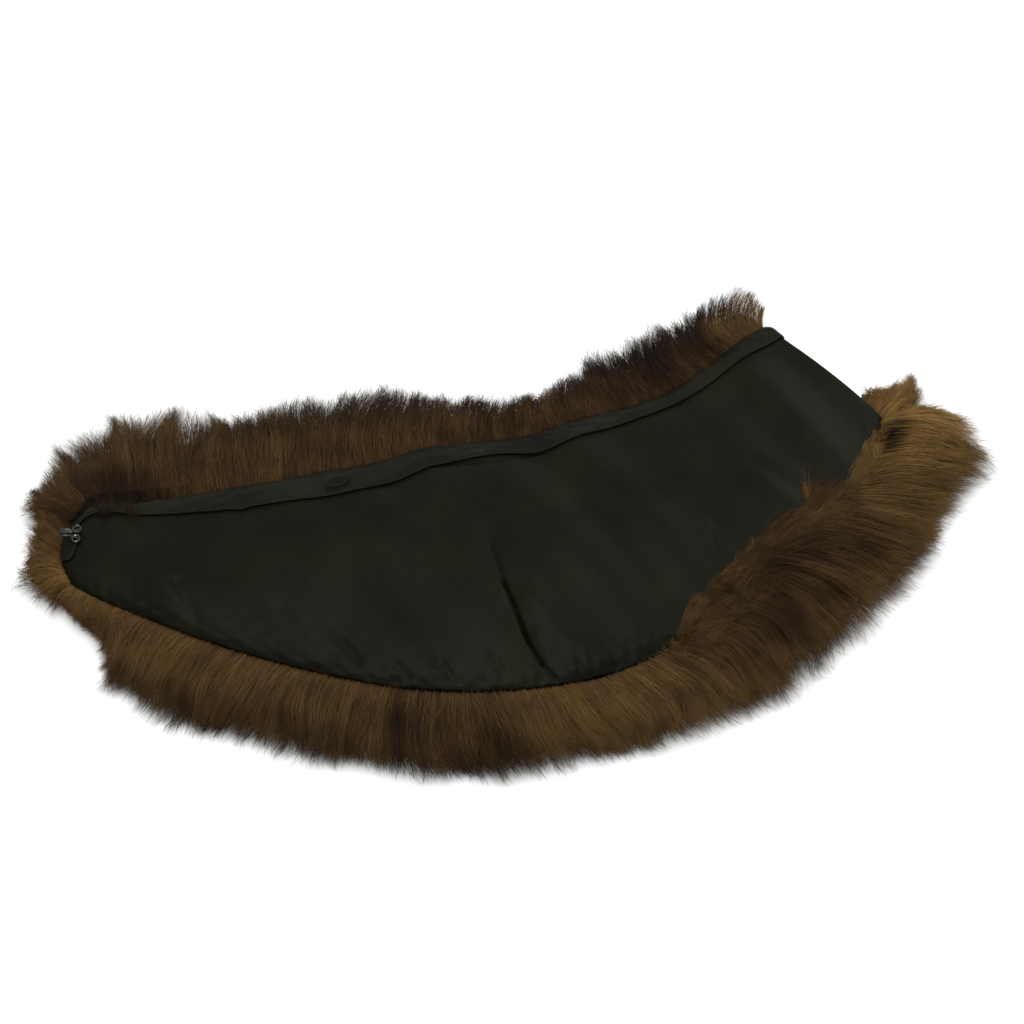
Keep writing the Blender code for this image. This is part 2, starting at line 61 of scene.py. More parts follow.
# Cross sections of the folded half from the tip to the fold: both edges of the lining, the way from
# each edge to the tips of its fur, the height of the edges, the crown between them, the width of the
# neck band, and how far the fur lies back over the lining at the outer edge
Station = namedtuple(
    "Station",
    "neck_x neck_y outer_x outer_y neck_fur_x neck_fur_y outer_fur_x outer_fur_y edge crown band over",
)
STATIONS = [Station(*row) for row in (
    (-214, -7, -213, -43, -26, 15, -25, -3, 15, 2, 8, 0),
    (-205, 5, -196, -54, -21, 46, -9, -18, 17, 3, 9, 0),
    (-184, 5, -172, -66, -9, 62, -9, -36, 18, 5, 12, 0),
    (-154, 9, -142, -80, -8, 58, -8, -42, 19, 7, 16, 0),
    (-124, 15, -110, -92, -5, 57, -5, -41, 20, 9, 19, 0),
    (-94, 22, -78, -101, -2, 57, -2, -42, 20, 10, 21, 0),
    (-66, 29, -46, -107, 0, 53, 0, -42, 20, 10, 21, 0),
    (-42, 37, -14, -109, 2, 46, 10, -39, 21, 10, 17, 0),
    (-14, 41, 18, -106, 1, 38, 18, -33, 21, 10, 14, 0),
    (12, 46, 48, -99, -2, 34, 24, -31, 22, 10, 16, 0),
    (38, 56, 76, -85, -8, 40, 30, -33, 22, 9, 14, 4),
    (64, 65, 102, -65, -12, 47, 36, -34, 22, 8, 13, 16),
    (88, 78, 126, -43, -14, 45, 43, -28, 23, 7, 12, 16),
    (106, 95, 149, -21, -12, 38, 49, -14, 23, 6, 12, 15),
    (119, 108, 171, 6, -4, 37, 53, 6, 23, 4, 13, 8),
    (130, 117, 187, 54, -4, 25, 57, -12, 22, 2, 13, 3),
)]
COLUMNS = {name: np.array([getattr(row, name) for row in STATIONS], float) for name in Station._fields}

# The tip's first stretch and its bulge, and the lining's drop to the skin at its edges
TIP_ROWS = 1.0 / (len(STATIONS) - 1)
TIP_DEPTH = 18.0
TIP_BULGE = 6.0
EDGE_DROP = 2.5
EDGE_DROP_WIDTH = 3.0
TIP_DROP_SHARE = 0.6
FOLD_FADE = 8.0

# Smooth random fields: the lining is a little loose on the skin, and gathered where its edges are sewn down
Field = namedtuple("Field", "wavelength seed size")
SLACK = Field(38.0, 10, 0.60)
PUCKER = Field(7.0, 12, 0.45)
PUCKER_DEPTH = 8.0

# Troughs (negative) and ridges in the lining: both ends, height and half-width. The first twelve lie where
# the solid's do, eight of them shallower here. The rest are the scene's own, and those narrower than
# CREASE_WIDTH have a sharp bottom
CREASE_WIDTH = 1.5
CREASE_POWER = 1.2
FOLD_POWER = 2.0
Fold = namedtuple("Fold", "x0 y0 x1 y1 height width")
FOLDS = [Fold(*row) for row in (
    (-14, -24, -2, -66, -1.0, 5.0),
    (-2, -66, 22, -103, -1.2, 5.0),
    (-2, -30, 12, -66, 0.9, 7.0),
    (10, -64, 34, -98, 1.0, 7.0),
    (-82, -78, -72, -92, -0.6, 4.0),
    (-36, -92, -25, -106, -0.6, 4.0),
    (-8, -90, -1, -102, -0.5, 4.0),
    (30, -92, 36, -102, -0.5, 4.0),
    (-182, -34, -164, -56, 1.4, 9.0),
    (-146, -6, -138, -44, -1.3, 9.0),
    (56, 40, 92, -20, 1.2, 18.0),
    (-70, -20, -20, 12, 1.3, 22.0),
    (-10, -34, -4, -53, -1.2, 1.4),
    (-4, -53, 1, -66, -3.4, 0.8),
    (2, -69, 8, -85, -4.0, 0.8),
    (8, -85, 14, -96, -3.4, 0.7),
    (14, -96, 25, -108, -3.6, 0.8),
    (-6, -53, 3, -72, 0.9, 2.2),
    (12, -82, 20, -100, 0.9, 2.6),
    (-80, -84, -71, -95, -1.6, 1.6),
    (-34, -94, -25, -108, -2.0, 1.4),
    (-54, -96, -48, -105, -1.3, 1.8),
    (-9, -93, -3, -104, -1.6, 1.8),
    (31, -96, 35, -104, -2.2, 1.0),
    (38, -95, 41, -101, -1.8, 1.0),
    (47, -92, 50, -99, -2.0, 1.0),
    (67, -82, 72, -90, -2.0, 1.0),
    (-110, -66, -100, -84, -0.9, 3.0),
    (-160, -50, -150, -70, -1.5, 3.0),
    (-133, -2, -130, -40, -1.8, 4.0),
    (98, -16, 99, -32, -1.6, 1.4),
    (92, -2, 118, -30, -0.9, 6.0),
    (120, 20, 150, -2, -1.0, 5.0),
    (-39, 21, -6, 24, -1.2, 1.2),
    (-6, 24, 16, 30, -1.0, 1.2),
)]

# The roll of lining round the fold at the centre back
ROLL_BULGE = 3.2
ROLL_BULGE_AT_ENDS = 1.2
ROLL_END = math.radians(150)
LOWER_FOLD_INSET = 0.7

# The step over which a normal is taken, the outline's samples each way, and the waves of a smooth random
# field: how many, and how their lengths range
NORMAL_STEP = 0.004
OUTLINE_ALONG = 60
OUTLINE_ACROSS = 10
SWAY_WAVES = 6
WAVE_RANGE = (0.7, 1.4)

# The photograph's camera
CAMERA_AIM = (0.0, 0.0, 15.0)
CAMERA_DISTANCE = 1.35
CAMERA_ELEVATION = math.radians(52)
CAMERA_LENS = 96.35


def unit(vectors):
    return vectors / np.maximum(np.linalg.norm(vectors, axis=-1, keepdims=True), 1e-9)


def at_height(point, height):
    """Points in the plan with a height, the same or one for each."""
    return np.concatenate([point, np.broadcast_to(height, point.shape[:-1])[..., None]], -1)


def left_of(way):
    return np.stack([-way[..., 1], way[..., 0]], -1)


def sway(points, field):
    """A smooth random vector at each point, about the field's size each way."""
    rng = np.random.default_rng(field.seed)
    total = np.zeros_like(points)
    for _ in range(SWAY_WAVES):
        wave = unit(rng.normal(0.0, 1.0, 3)) * 2 * np.pi / (field.wavelength * rng.uniform(*WAVE_RANGE))
        total += np.sin((points @ wave)[..., None] + rng.uniform(0.0, 2 * np.pi, 3))
    return total / math.sqrt(SWAY_WAVES / 2) * field.size


def station(name, s):
    """A column of the station table at s, 0 at the tip and 1 at the fold, on a smooth curve."""
    values = COLUMNS[name]
    last = len(values) - 1
    place = np.clip(s, 0.0, 1.0) * last
    i = np.minimum(place.astype(int), last - 1)
    f = place - i
    before, a, b, after = (values[np.clip(i + k, 0, last)] for k in (-1, 0, 1, 2))
    slope_a = (b - before) / 2
    slope_b = (after - a) / 2
    return (
        a * (2 * f**3 - 3 * f**2 + 1)
        + b * (3 * f**2 - 2 * f**3)
        + slope_a * (f**3 - 2 * f**2 + f)
        + slope_b * (f**3 - f**2)
    )


def edge(side, s):
    return np.stack([station(f"{side}_x", s), station(f"{side}_y", s)], -1)


def panel_width(s):
    return np.linalg.norm(edge("outer", s) - edge("neck", s), axis=-1)


def plan(s, t):
    """Points of the lining seen from above: t runs from the neck edge to the outer edge."""
    start, end = edge("neck", s), edge("outer", s)
    point = start + (end - start) * t[..., None]
    point[..., 0] -= TIP_BULGE * np.sin(np.pi * t) * np.maximum(0.0, 1.0 - s / TIP_ROWS)
    return point


def fold_height(point):
    height = np.zeros(point.shape[:-1])
    for fold in FOLDS:
        run = np.array([fold.x1 - fold.x0, fold.y1 - fold.y0], float)
        way = point - (fold.x0, fold.y0)
        nearest = np.clip(way @ run / (run @ run), 0.0, 1.0)
        aside = np.linalg.norm(way - run * nearest[..., None], axis=-1)
        power = CREASE_POWER if fold.width < CREASE_WIDTH else FOLD_POWER
        height += fold.height * np.exp(-((aside / fold.width) ** power))
    return height


def panel(s, t):
    """Points of the upper lining's outer face, up to the fold line."""
    point = plan(s, t)
    to_edge = panel_width(s) * np.minimum(t, 1.0 - t)
    to_tip = TIP_DEPTH * s / TIP_ROWS
    crown = station("crown", s) * (1.0 - (2.0 * t - 1.0) ** 2)
    edge_drop = np.exp(-to_edge / EDGE_DROP_WIDTH)
    tip_drop = np.exp(-to_tip / EDGE_DROP_WIDTH) * TIP_DROP_SHARE
    drop = EDGE_DROP * np.minimum(edge_drop + tip_drop, 1.0)
    fade = 1.0 - np.exp(-np.minimum(to_edge, to_tip) / FOLD_FADE)
    slack, pucker = (sway(at_height(point, 0.0), field)[..., 0] for field in (SLACK, PUCKER))
    height = station("edge", s) + crown - drop + (fold_height(point) + slack) * fade
    height += pucker * np.exp(-to_edge / PUCKER_DEPTH) * (1.0 - np.exp(-to_edge))
    return at_height(point, height)


def fold_along():
    """Along the fold line, from its neck corner to its outer corner."""
    ends = edge("outer", np.ones(1))[0] - edge("neck", np.ones(1))[0]
    return ends / np.linalg.norm(ends)


def fold_outward():
    return left_of(fold_along())


def roll_bulge(t):
    return ROLL_BULGE_AT_ENDS + (ROLL_BULGE - ROLL_BULGE_AT_ENDS) * np.sin(np.pi * t)


def surface(row, t):
    """The lining's outer face: row 0 to 1 is the panel, and 1 to 2 goes down round the fold."""
    point = panel(np.minimum(row, 1.0), t)
    angle = np.maximum(row - 1.0, 0.0) * ROLL_END
    point[..., :2] += fold_outward() * (roll_bulge(t) * np.sin(angle))[..., None]
    point[..., 2] *= (1.0 + np.cos(angle)) / 2.0
    return point


def surface_normal(row, t):
    step = NORMAL_STEP
    low = np.where(row <= 1.0, np.maximum(row - step, 0.0), np.minimum(row, 2.0 - step))
    along = surface(low + step, t) - surface(low, t)
    across = surface(row, np.minimum(t + step, 1.0)) - surface(row, np.maximum(t - step, 0.0))
    return unit(np.cross(across, along))


def lower_outline():
    """The edge of the lower half's lining in the plan, from the fold round the tip and back."""
    s = np.linspace(0.0, 1.0, OUTLINE_ALONG + 1)
    t = np.linspace(0.0, 1.0, OUTLINE_ACROSS + 1)[1:-1]
    fold = plan(np.ones_like(t), t)
    fold += fold_outward() * (roll_bulge(t) * math.sin(ROLL_END) - LOWER_FOLD_INSET)[:, None]
    line = np.concatenate([
        plan(s, np.zeros_like(s))[::-1],
        plan(np.zeros_like(t), t),
        plan(s, np.ones_like(s)),
        fold[::-1],
    ])
    run = np.roll(line, -1, 0) - np.roll(line, 1, 0)
    return line + unit(left_of(run)) * GAP


def cutting_table_shift():
    """From the tables' frame to the CAD frame, in millimetres, found on the lower lining's own box."""
    low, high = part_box("lining_lower")
    line = lower_outline()
    middle = (line.min(0) + line.max(0)) / 2
    return np.array([(low.x + high.x) / 2 / MM - middle[0], (low.y + high.y) / 2 / MM - middle[1], 0.0])


SHIFT = cutting_table_shift()


def to_frame(points):
    return (np.asarray(points, float) + SHIFT) * MM


# Meshes


def linked(name, data):
    obj = bpy.data.objects.new(name, data)
    bpy.context.scene.collection.objects.link(obj)
    return obj


def new_object(name, data, material):
    obj = linked(name, data)
    data.materials.append(material)
    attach(obj, "root")
    return obj


def mesh_from_faces(name, points, quads, tris=None):
    """A mesh in the CAD frame from points in millimetres and arrays of faces."""
    mesh = bpy.data.meshes.new(name)
    tris = np.zeros((0, 3), int) if tris is None else tris
    corners = np.concatenate([quads.ravel(), tris.ravel()]).astype(np.int32)
    sizes = np.concatenate([np.full(len(quads), 4), np.full(len(tris), 3)])
    starts = np.concatenate([[0], np.cumsum(sizes)[:-1]]).astype(np.int32)
    mesh.vertices.add(len(points))
    mesh.vertices.foreach_set("co", to_frame(points).astype(np.float32).ravel())
    mesh.loops.add(len(corners))
    mesh.loops.foreach_set("vertex_index", corners)
    mesh.polygons.add(len(sizes))
    mesh.polygons.foreach_set("loop_start", starts)
    mesh.update(calc_edges=True)
    mesh.validate()
    mesh.shade_smooth()
    return mesh


def grid_quads(rows, columns, first=0, closed=False, flip=False):
    """Quads of a grid of points stored row by row; closed joins its last column to its first."""
    i = np.arange(rows - 1)[:, None]
    j = np.arange(columns if closed else columns - 1)[None, :]
    k = (j + 1) % columns
    quads = np.stack([i * columns + j, i * columns + k, (i + 1) * columns + k, (i + 1) * columns + j], -1)
    quads = quads.reshape(-1, 4) + first
    return quads[:, ::-1] if flip else quads


def point_attribute(mesh, name, values):
    mesh.attributes.new(name, "FLOAT", "POINT").data.foreach_set("value", values.astype(np.float32))


def corner_uv(mesh, name, uv):
    """A UV map from one pair of values for each vertex."""
    layer = mesh.uv_layers.new(name=name)
    index = np.zeros(len(mesh.loops), np.int32)
    mesh.loops.foreach_get("vertex_index", index)
    layer.data.foreach_set("uv", uv[index].astype(np.float32).ravel())


def shell(name, outer_grid, inner_grid, uv_grid):
    """A closed thin wall between two grids of points."""
    rows, columns = outer_grid.shape[:2]
    count = rows * columns
    points = np.concatenate([outer_grid.reshape(-1, 3), inner_grid.reshape(-1, 3)])
    index = np.arange(count).reshape(rows, columns)
    border = np.concatenate([index[0, :-1], index[:-1, -1], index[-1, :0:-1], index[:0:-1, 0]])
    after = np.roll(border, -1)
    wall = np.stack([after, border, border + count, after + count], -1)
    quads = np.concatenate([
        grid_quads(rows, columns),
        grid_quads(rows, columns, count, flip=True),
        wall,
    ])
    mesh = mesh_from_faces(name, points, quads)
    corner_uv(mesh, "cloth", np.concatenate([uv_grid.reshape(-1, 2)] * 2))
    return mesh


# Materials


def set_inputs(tree, node, inputs):
    """Each input is a value or another node's socket."""
    for name, value in inputs.items():
        if isinstance(value, bpy.types.NodeSocket):
            tree.links.new(value, node.inputs[name])
        else:
            node.inputs[name].default_value = value


def add_node(tree, kind, inputs, **settings):
    node = tree.nodes.new("ShaderNode" + kind)
    for name, value in settings.items():
        setattr(node, name, value)
    set_inputs(tree, node, inputs)
    return node


def color_ramp(tree, factor, stops):
    node = add_node(tree, "ValToRGB", {"Fac": factor})
    elements = node.color_ramp.elements
    while len(elements) < len(stops):
        elements.new(0.5)
    for element, (place, color) in zip(elements, stops):
        element.position = place
        element.color = (*color, 1.0)
    return node.outputs["Color"]


def mapped(tree, value, low, high):
    """Runs 0 to 1 of a value over another range."""
    node = add_node(tree, "MapRange", {"Value": value, "To Min": low, "To Max": high})
    return node.outputs["Result"]


def new_material(name, **values):
    material = bpy.data.materials.new(name)
    material.use_nodes = True
    tree = material.node_tree
    shader = tree.nodes["Principled BSDF"]
    for socket, value in values.items():
        shader.inputs[socket.replace("_", " ")].default_value = value
    return material, tree, shader


def satin_material(name, dark, light, roughness):
    """Charcoal satin: long floats across the panel, a finer warp, and slow changes of shade."""
    material, tree, shader = new_material(
        name, Specular_IOR_Level=0.075, Sheen_Weight=0.002, Sheen_Roughness=0.4
    )
    cloth = add_node(tree, "UVMap", {}, uv_map="cloth").outputs["UV"]
    floats = add_node(tree, "Mapping", {"Vector": cloth, "Scale": (2600.0, 420.0, 1.0)})
    thread = add_node(tree, "TexNoise", {"Vector": floats.outputs["Vector"], "Scale": 1.0, "Detail": 3.0})
    patch = add_node(tree, "TexNoise", {"Vector": cloth, "Scale": 22.0, "Detail": 3.0, "Roughness": 0.55})
    blend = add_node(tree, "Mix", {"Factor": 0.35, "A": patch.outputs["Fac"], "B": thread.outputs["Fac"]})
    shade = color_ramp(tree, blend.outputs["Result"], ((0.36, dark), (0.64, light)))
    rough = mapped(tree, thread.outputs["Fac"], roughness - 0.08, roughness + 0.08)
    bump = add_node(tree, "Bump", {"Strength": 0.25, "Distance": 0.00012, "Height": thread.outputs["Fac"]})
    set_inputs(tree, shader, {"Base Color": shade, "Roughness": rough, "Normal": bump.outputs["Normal"]})
    return material


def fur_material(stops):
    """Hair: colour from the strands' tone, dark brown through golden brown to straw, and painted shade at
    the roots.
    """
    material, tree, shader = new_material("fur_hair", Roughness=0.8, Specular_IOR_Level=0.06)
    tone, along = (
        add_node(tree, "Attribute", {}, attribute_name=name).outputs["Fac"] for name in ("tone", "along")
    )
    shade = color_ramp(tree, tone, stops)
    white = (1.0, 1.0, 1.0)
    # Painted shade: each strand darkens over its first stretch from the root, and the underfur next to the
    # seam too
    depth = color_ramp(tree, along, ((0.0, (0.7, 0.65, 0.6)), (0.03, white), (1.0, white)))
    both = {"Factor": 1.0, "A": shade, "B": depth}
    mix = add_node(tree, "Mix", both, data_type="RGBA", blend_type="MULTIPLY")
    set_inputs(tree, shader, {"Base Color": mix.outputs["Result"]})
    return material


def metal_material():
    """Black enamelled wire, worn through to bright nickel here and there."""
    material, tree, shader = new_material("hook_metal")
    place = add_node(tree, "TexCoord", {}).outputs["Object"]
    worn = add_node(tree, "TexNoise", {"Vector": place, "Scale": 420.0, "Detail": 3.0}).outputs["Fac"]
    bare = add_node(tree, "MapRange", {"Value": worn, "From Min": 0.59, "From Max": 0.66}).outputs["Result"]
    shade = color_ramp(tree, bare, ((0.0, (0.010, 0.010, 0.008)), (1.0, (0.42, 0.41, 0.37))))
    rough = mapped(tree, worn, 0.28, 0.45)
    set_inputs(tree, shader, {"Base Color": shade, "Metallic": bare, "Roughness": rough})
    return material


def thread_material(color):
    material, tree, shader = new_material("eye_thread", Specular_IOR_Level=0.1)
    place = add_node(tree, "TexCoord", {}).outputs["Object"]
    fibre = add_node(tree, "TexNoise", {"Vector": place, "Scale": 2500.0, "Detail": 2.0})
    lighter = tuple(1.7 * value for value in color)
    shade = color_ramp(tree, fibre.outputs["Fac"], ((0.35, color), (0.65, lighter)))
    rough = mapped(tree, fibre.outputs["Fac"], 0.55, 0.75)
    set_inputs(tree, shader, {"Base Color": shade, "Roughness": rough})
    return material


# Lining and band

# Stretches of the panel from the tip to the fold: where each starts and how many rows it has, most of them
# at the deepest crease
PANEL_STRETCHES = [(0.0, 62), (0.32, 62), (0.496, 88), (0.546, 40), (0.65, 66), (1.0, 0)]
ROLL_ROWS = 14
ACROSS_STEPS = 84
LOWER_ROWS = 80
LOWER_STEPS = 24
EVEN_SHARE = 0.35
CLOTH_LENGTH = 0.42


def panel_rows():
    """Rows of the panel, and then of the roll round the fold."""
    pairs = zip(PANEL_STRETCHES, PANEL_STRETCHES[1:])
    rows = [np.linspace(start, end, count, endpoint=False) for (start, count), (end, _) in pairs]
    return np.concatenate([*rows, 1.0 + np.arange(ROLL_ROWS + 1) / ROLL_ROWS])


def across_places(steps):
    """Places from edge to edge, closer together near both edges."""
    even = np.linspace(0.0, 1.0, steps + 1)
    return EVEN_SHARE * even + (1.0 - EVEN_SHARE) * (1.0 - np.cos(np.pi * even)) / 2


def cloth_uv(row, t):
    """A cloth's own two ways, in metres: across the panel and along it."""
    return np.stack([t * panel_width(np.minimum(row, 1.0)) * MM, row * CLOTH_LENGTH], -1)


def make_lining_upper(material):
    row, t = np.meshgrid(panel_rows(), across_places(ACROSS_STEPS), indexing="ij")
    outside = surface(row, t)
    inside = outside - surface_normal(row, t) * SATIN_WALL
    mesh = shell("lining_upper_cloth", outside, inside, cloth_uv(row, t))
    piece = new_object("lining_upper_cloth", mesh, material)
    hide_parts("lining_upper")
    return piece


def make_lining_lower(material):
    s, t = np.meshgrid(np.linspace(0.0, 1.0, LOWER_ROWS), across_places(LOWER_STEPS), indexing="ij")
    point = plan(s, t)
    top, bottom = at_height(point, SATIN_WALL), at_height(point, 0.0)
    mesh = shell("lining_lower_cloth", top, bottom, cloth_uv(s, t))
    piece = new_object("lining_lower_cloth", mesh, material)
    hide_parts("lining_lower")
    return piece


# The neck band on the panel: where its edge runs, the row where it turns round the tip, its corner, its
# stretch down the tip, and how it lifts and puckers off the lining
BAND_EDGE = 0.012
BAND_TURN_ROW = 0.035
BAND_CORNER = ((0.50, 0.015), (0.12, 0.06))
BAND_TIP_EDGE = 0.10
BAND_TIP_END = 0.68
BAND_TIP_STEPS = 22
BAND_LIFT = 0.4
BAND_ROUNDNESS = 0.7
BAND_PUCKER = Field(9.0, 9, 0.16)
BAND_STEPS = 12


def band_places():
    """(row, t) of the band's edge by the fur and of its seam, from the fold's foot round the tip."""
    turn = BAND_TURN_ROW
    rows = panel_rows()[::-1]
    rows = rows[rows > turn]
    on_panel = np.minimum(rows, 1.0)
    seam_t = station("band", on_panel) / panel_width(on_panel)
    edges = [(row, BAND_EDGE) for row in rows] + [(share * turn, t) for share, t in BAND_CORNER]
    seams = list(zip(rows, seam_t)) + [(turn, seam_t[-1])] * len(BAND_CORNER)
    start = max(seam_t[-1], BAND_CORNER[-1][1])
    for k in range(1, BAND_TIP_STEPS + 1):
        t = start + (BAND_TIP_END - start) * k / BAND_TIP_STEPS
        full = math.sqrt(1.0 - (k / (BAND_TIP_STEPS + 1)) ** 4)
        edges.append((BAND_TIP_EDGE * turn, t))
        seams.append(((BAND_TIP_EDGE + (1.0 - BAND_TIP_EDGE) * full) * turn, t))
    return np.array(edges), np.array(seams)


def make_neck_band(material):
    edges, seams = band_places()
    share = np.linspace(0.0, 1.0, BAND_STEPS + 1)
    place = edges[:, None] + (seams - edges)[:, None] * share[:, None]
    row, t = place[..., 0], place[..., 1]
    normal = surface_normal(row, t)
    base = surface(row, t)
    middle = np.sin(np.pi * share)
    pucker = sway(base, BAND_PUCKER)[..., 0] * middle
    lift = GAP + BAND_LIFT * middle**BAND_ROUNDNESS + np.maximum(pucker, -BAND_LIFT * middle)
    outside = base + normal * (lift + BAND_WALL)[..., None]
    inside = base + normal * lift[..., None]
    mesh = shell("neck_band_cloth", outside[:, ::-1], inside[:, ::-1], cloth_uv(row, t)[:, ::-1])
    piece = new_object("neck_band_cloth", mesh, material)
    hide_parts("neck_band")
    return piece


# Fur

# The rim of fur over the upper half: share of the fur's reach, distance out from the seam, how far it
# lies back over the lining, height as a share of the edge's, more height, and height over the lining
TopRing = namedtuple("TopRing", "share out over_out level rise over_rise")
RIM_TOP = [TopRing(*row) for row in (
    (0.00, 0.0, -0.9, 1.00, 0.3, 0.27),
    (0.03, 0.4, -1.0, 1.00, 1.4, 0.32),
    (0.12, 1.8, -0.8, 1.04, 2.0, 0.28),
    (0.32, 2.0, -0.4, 1.05, 1.8, 0.17),
    (0.52, 1.5, -0.1, 0.97, 1.4, 0.10),
    (0.70, 1.0, 0.0, 0.85, 0.7, 0.05),
    (0.86, 0.5, 0.0, 0.66, 0.4, 0.02),
    (1.00, 0.0, 0.0, 0.44, 0.0, 0.00),
    (1.20, 0.0, 0.0, 0.18, 0.0, 0.00),
)]
# Heights of the layers' other faces along the share of the reach, as shares of the edge's height, the
# clearance from the floor in millimetres, and how the fur's lean along the seam grows
SHARES = (0.0, 0.32, 0.64, 0.84, 1.0, 1.2)
UPPER_UNDER = (0.40, 0.36, 0.33, 0.35, 0.38, 0.14)
LOWER_TOP = (0.40, 0.34, 0.30, 0.22, 0.08, 0.02)
FLOOR_CLEARANCE = 0.35
LEAN_POWER = 1.4

# Samples along the seam, how far past 3 the corner's fan goes, and how far the fur stays off the fold line
TIP_SAMPLES = 60
EDGE_SAMPLES = 400
CORNER_SAMPLES = 40
CORNER_REACH = 8 / 60
CORNER_CLEARANCE = 1.8

# Columns of a place on the seam: its foot, the fur's way, the way out, and how far the fur lies over
FOOT, WAY, OUT, OVER = slice(0, 3), slice(3, 5), slice(5, 7), 7

# The fan past the fold's outer corner: share of the way round it, the fur's way, and how far its foot has
# gone back along the fold
Fan = namedtuple("Fan", "place x y back")
CORNER_FAN = [Fan(*row) for row in (
    (0.00, 57, -12, 0),
    (0.16, 50, -2, 0),
    (0.30, 41, 9, 0),
    (0.44, 31, 15, 0),
    (0.55, 19, 12, 1),
    (0.64, 26, 35, 3),
    (0.76, 16, 30, 6),
    (0.88, 8, 24, 11),
    (1.00, 2, 15, 17),
)]


def turned(start, end, share):
    """Between two ways, by angle and by length."""
    a, b = math.atan2(start[1], start[0]), math.atan2(end[1], end[0])
    b += 2 * math.pi * round((a - b) / (2 * math.pi))
    angle = a + (b - a) * share
    length = np.linalg.norm(start) + (np.linalg.norm(end) - np.linalg.norm(start)) * share
    return np.stack([np.cos(angle), np.sin(angle)], -1) * length[:, None]


def from_table(table, name, place):
    """A column of a table between its rows, which stand in the order of their places."""
    return np.interp(place, [row.place for row in table], [getattr(row, name) for row in table])


class RimPath:
    """The seam from the fold's neck corner round the tip to its outer corner, with the fur's way at each
    place: 0 to 1 is the neck edge, 1 to 2 the tip, 2 to 3 the outer edge, and past 3 the corner's fan."""

    def __init__(self):
        s = np.linspace(0.0, 1.0, EDGE_SAMPLES + 1)
        zero, one = np.zeros_like(s), np.ones_like(s)
        neck = self.edge_part(s, zero, "neck", 1.0)[::-1]
        outer = self.edge_part(s, one, "outer", -1.0)
        t = np.linspace(0.0, 1.0, TIP_SAMPLES + 1)[1:-1]
        way = turned(neck[-1, WAY], outer[0, WAY], t)
        tip = np.concatenate([surface(np.zeros_like(t), t), way, unit(way), np.zeros((len(t), 1))], -1)
        fan = np.linspace(0.0, 1.0, CORNER_SAMPLES + 1)[1:]
        corner = np.repeat(outer[-1:], CORNER_SAMPLES, 0)
        corner[:, :2] -= fold_along() * from_table(CORNER_FAN, "back", fan)[:, None]
        corner[:, WAY] = np.stack([from_table(CORNER_FAN, name, fan) for name in ("x", "y")], -1)
        corner[:, OUT] = unit(corner[:, WAY])
        corner[:, OVER] *= 1.0 - fan
        self.places = np.concatenate([1.0 - s[::-1], 1.0 + t, 2.0 + s, 3.0 + fan * CORNER_REACH])
        self.values = np.concatenate([neck, tip, outer, corner])

    @staticmethod
    def edge_part(s, t, side, turn):
        """The columns of one long edge."""
        foot = surface(s, t)
        foot[-1, :2] -= fold_along() * CORNER_CLEARANCE * turn
        run = np.gradient(plan(s, t), axis=0)
        out = unit(left_of(run) * turn)
        way = np.stack([station(f"{side}_fur_x", s), station(f"{side}_fur_y", s)], -1)
        over = station("over", s) * (side == "outer")
        return np.concatenate([foot, way, out, over[:, None]], -1)

    def at(self, place):
        columns = [np.interp(place, self.places, column) for column in self.values.T]
        foot, way, out = (np.stack(columns[part], -1) for part in (FOOT, WAY, OUT))
        return foot, way, unit(out), columns[OVER]

    def grown_length(self):
        """Places and the growing length of a line half-way out in the fur."""
        middle = self.values[:, :2] + 0.5 * self.values[:, WAY]
        steps = np.linalg.norm(np.diff(middle, axis=0), axis=1)
        return self.places, np.concatenate([[0.0], np.cumsum(steps)])


def rim_point(path, place, share, depth, upper):
    """A point of the fur: place along the seam, share of the reach, and depth 0 to 1 in its layer."""
    foot, way, out, over = path.at(place)
    side = left_of(out)
    rings = {name: [getattr(ring, name) for ring in RIM_TOP] for name in TopRing._fields}
    value = {name: np.interp(share, rings["share"], rings[name]) for name in TopRing._fields[1:]}
    forward = np.sum(way * out, -1)
    sideways = np.sum(way * side, -1)
    distance = value["out"] + value["over_out"] * over + forward * share
    aside = sideways * np.sign(share) * np.abs(share) ** LEAN_POWER
    point = foot[..., :2] + out * distance[..., None] + side * aside[..., None]
    level = foot[..., 2]
    top = level * value["level"] + value["rise"] + value["over_rise"] * over
    top = np.where(upper, top, level * np.interp(share, SHARES, LOWER_TOP))
    under = np.where(upper, level * np.interp(share, SHARES, UPPER_UNDER), FLOOR_CLEARANCE)
    height = top + (under - top) * depth
    return at_height(point, height), out, side
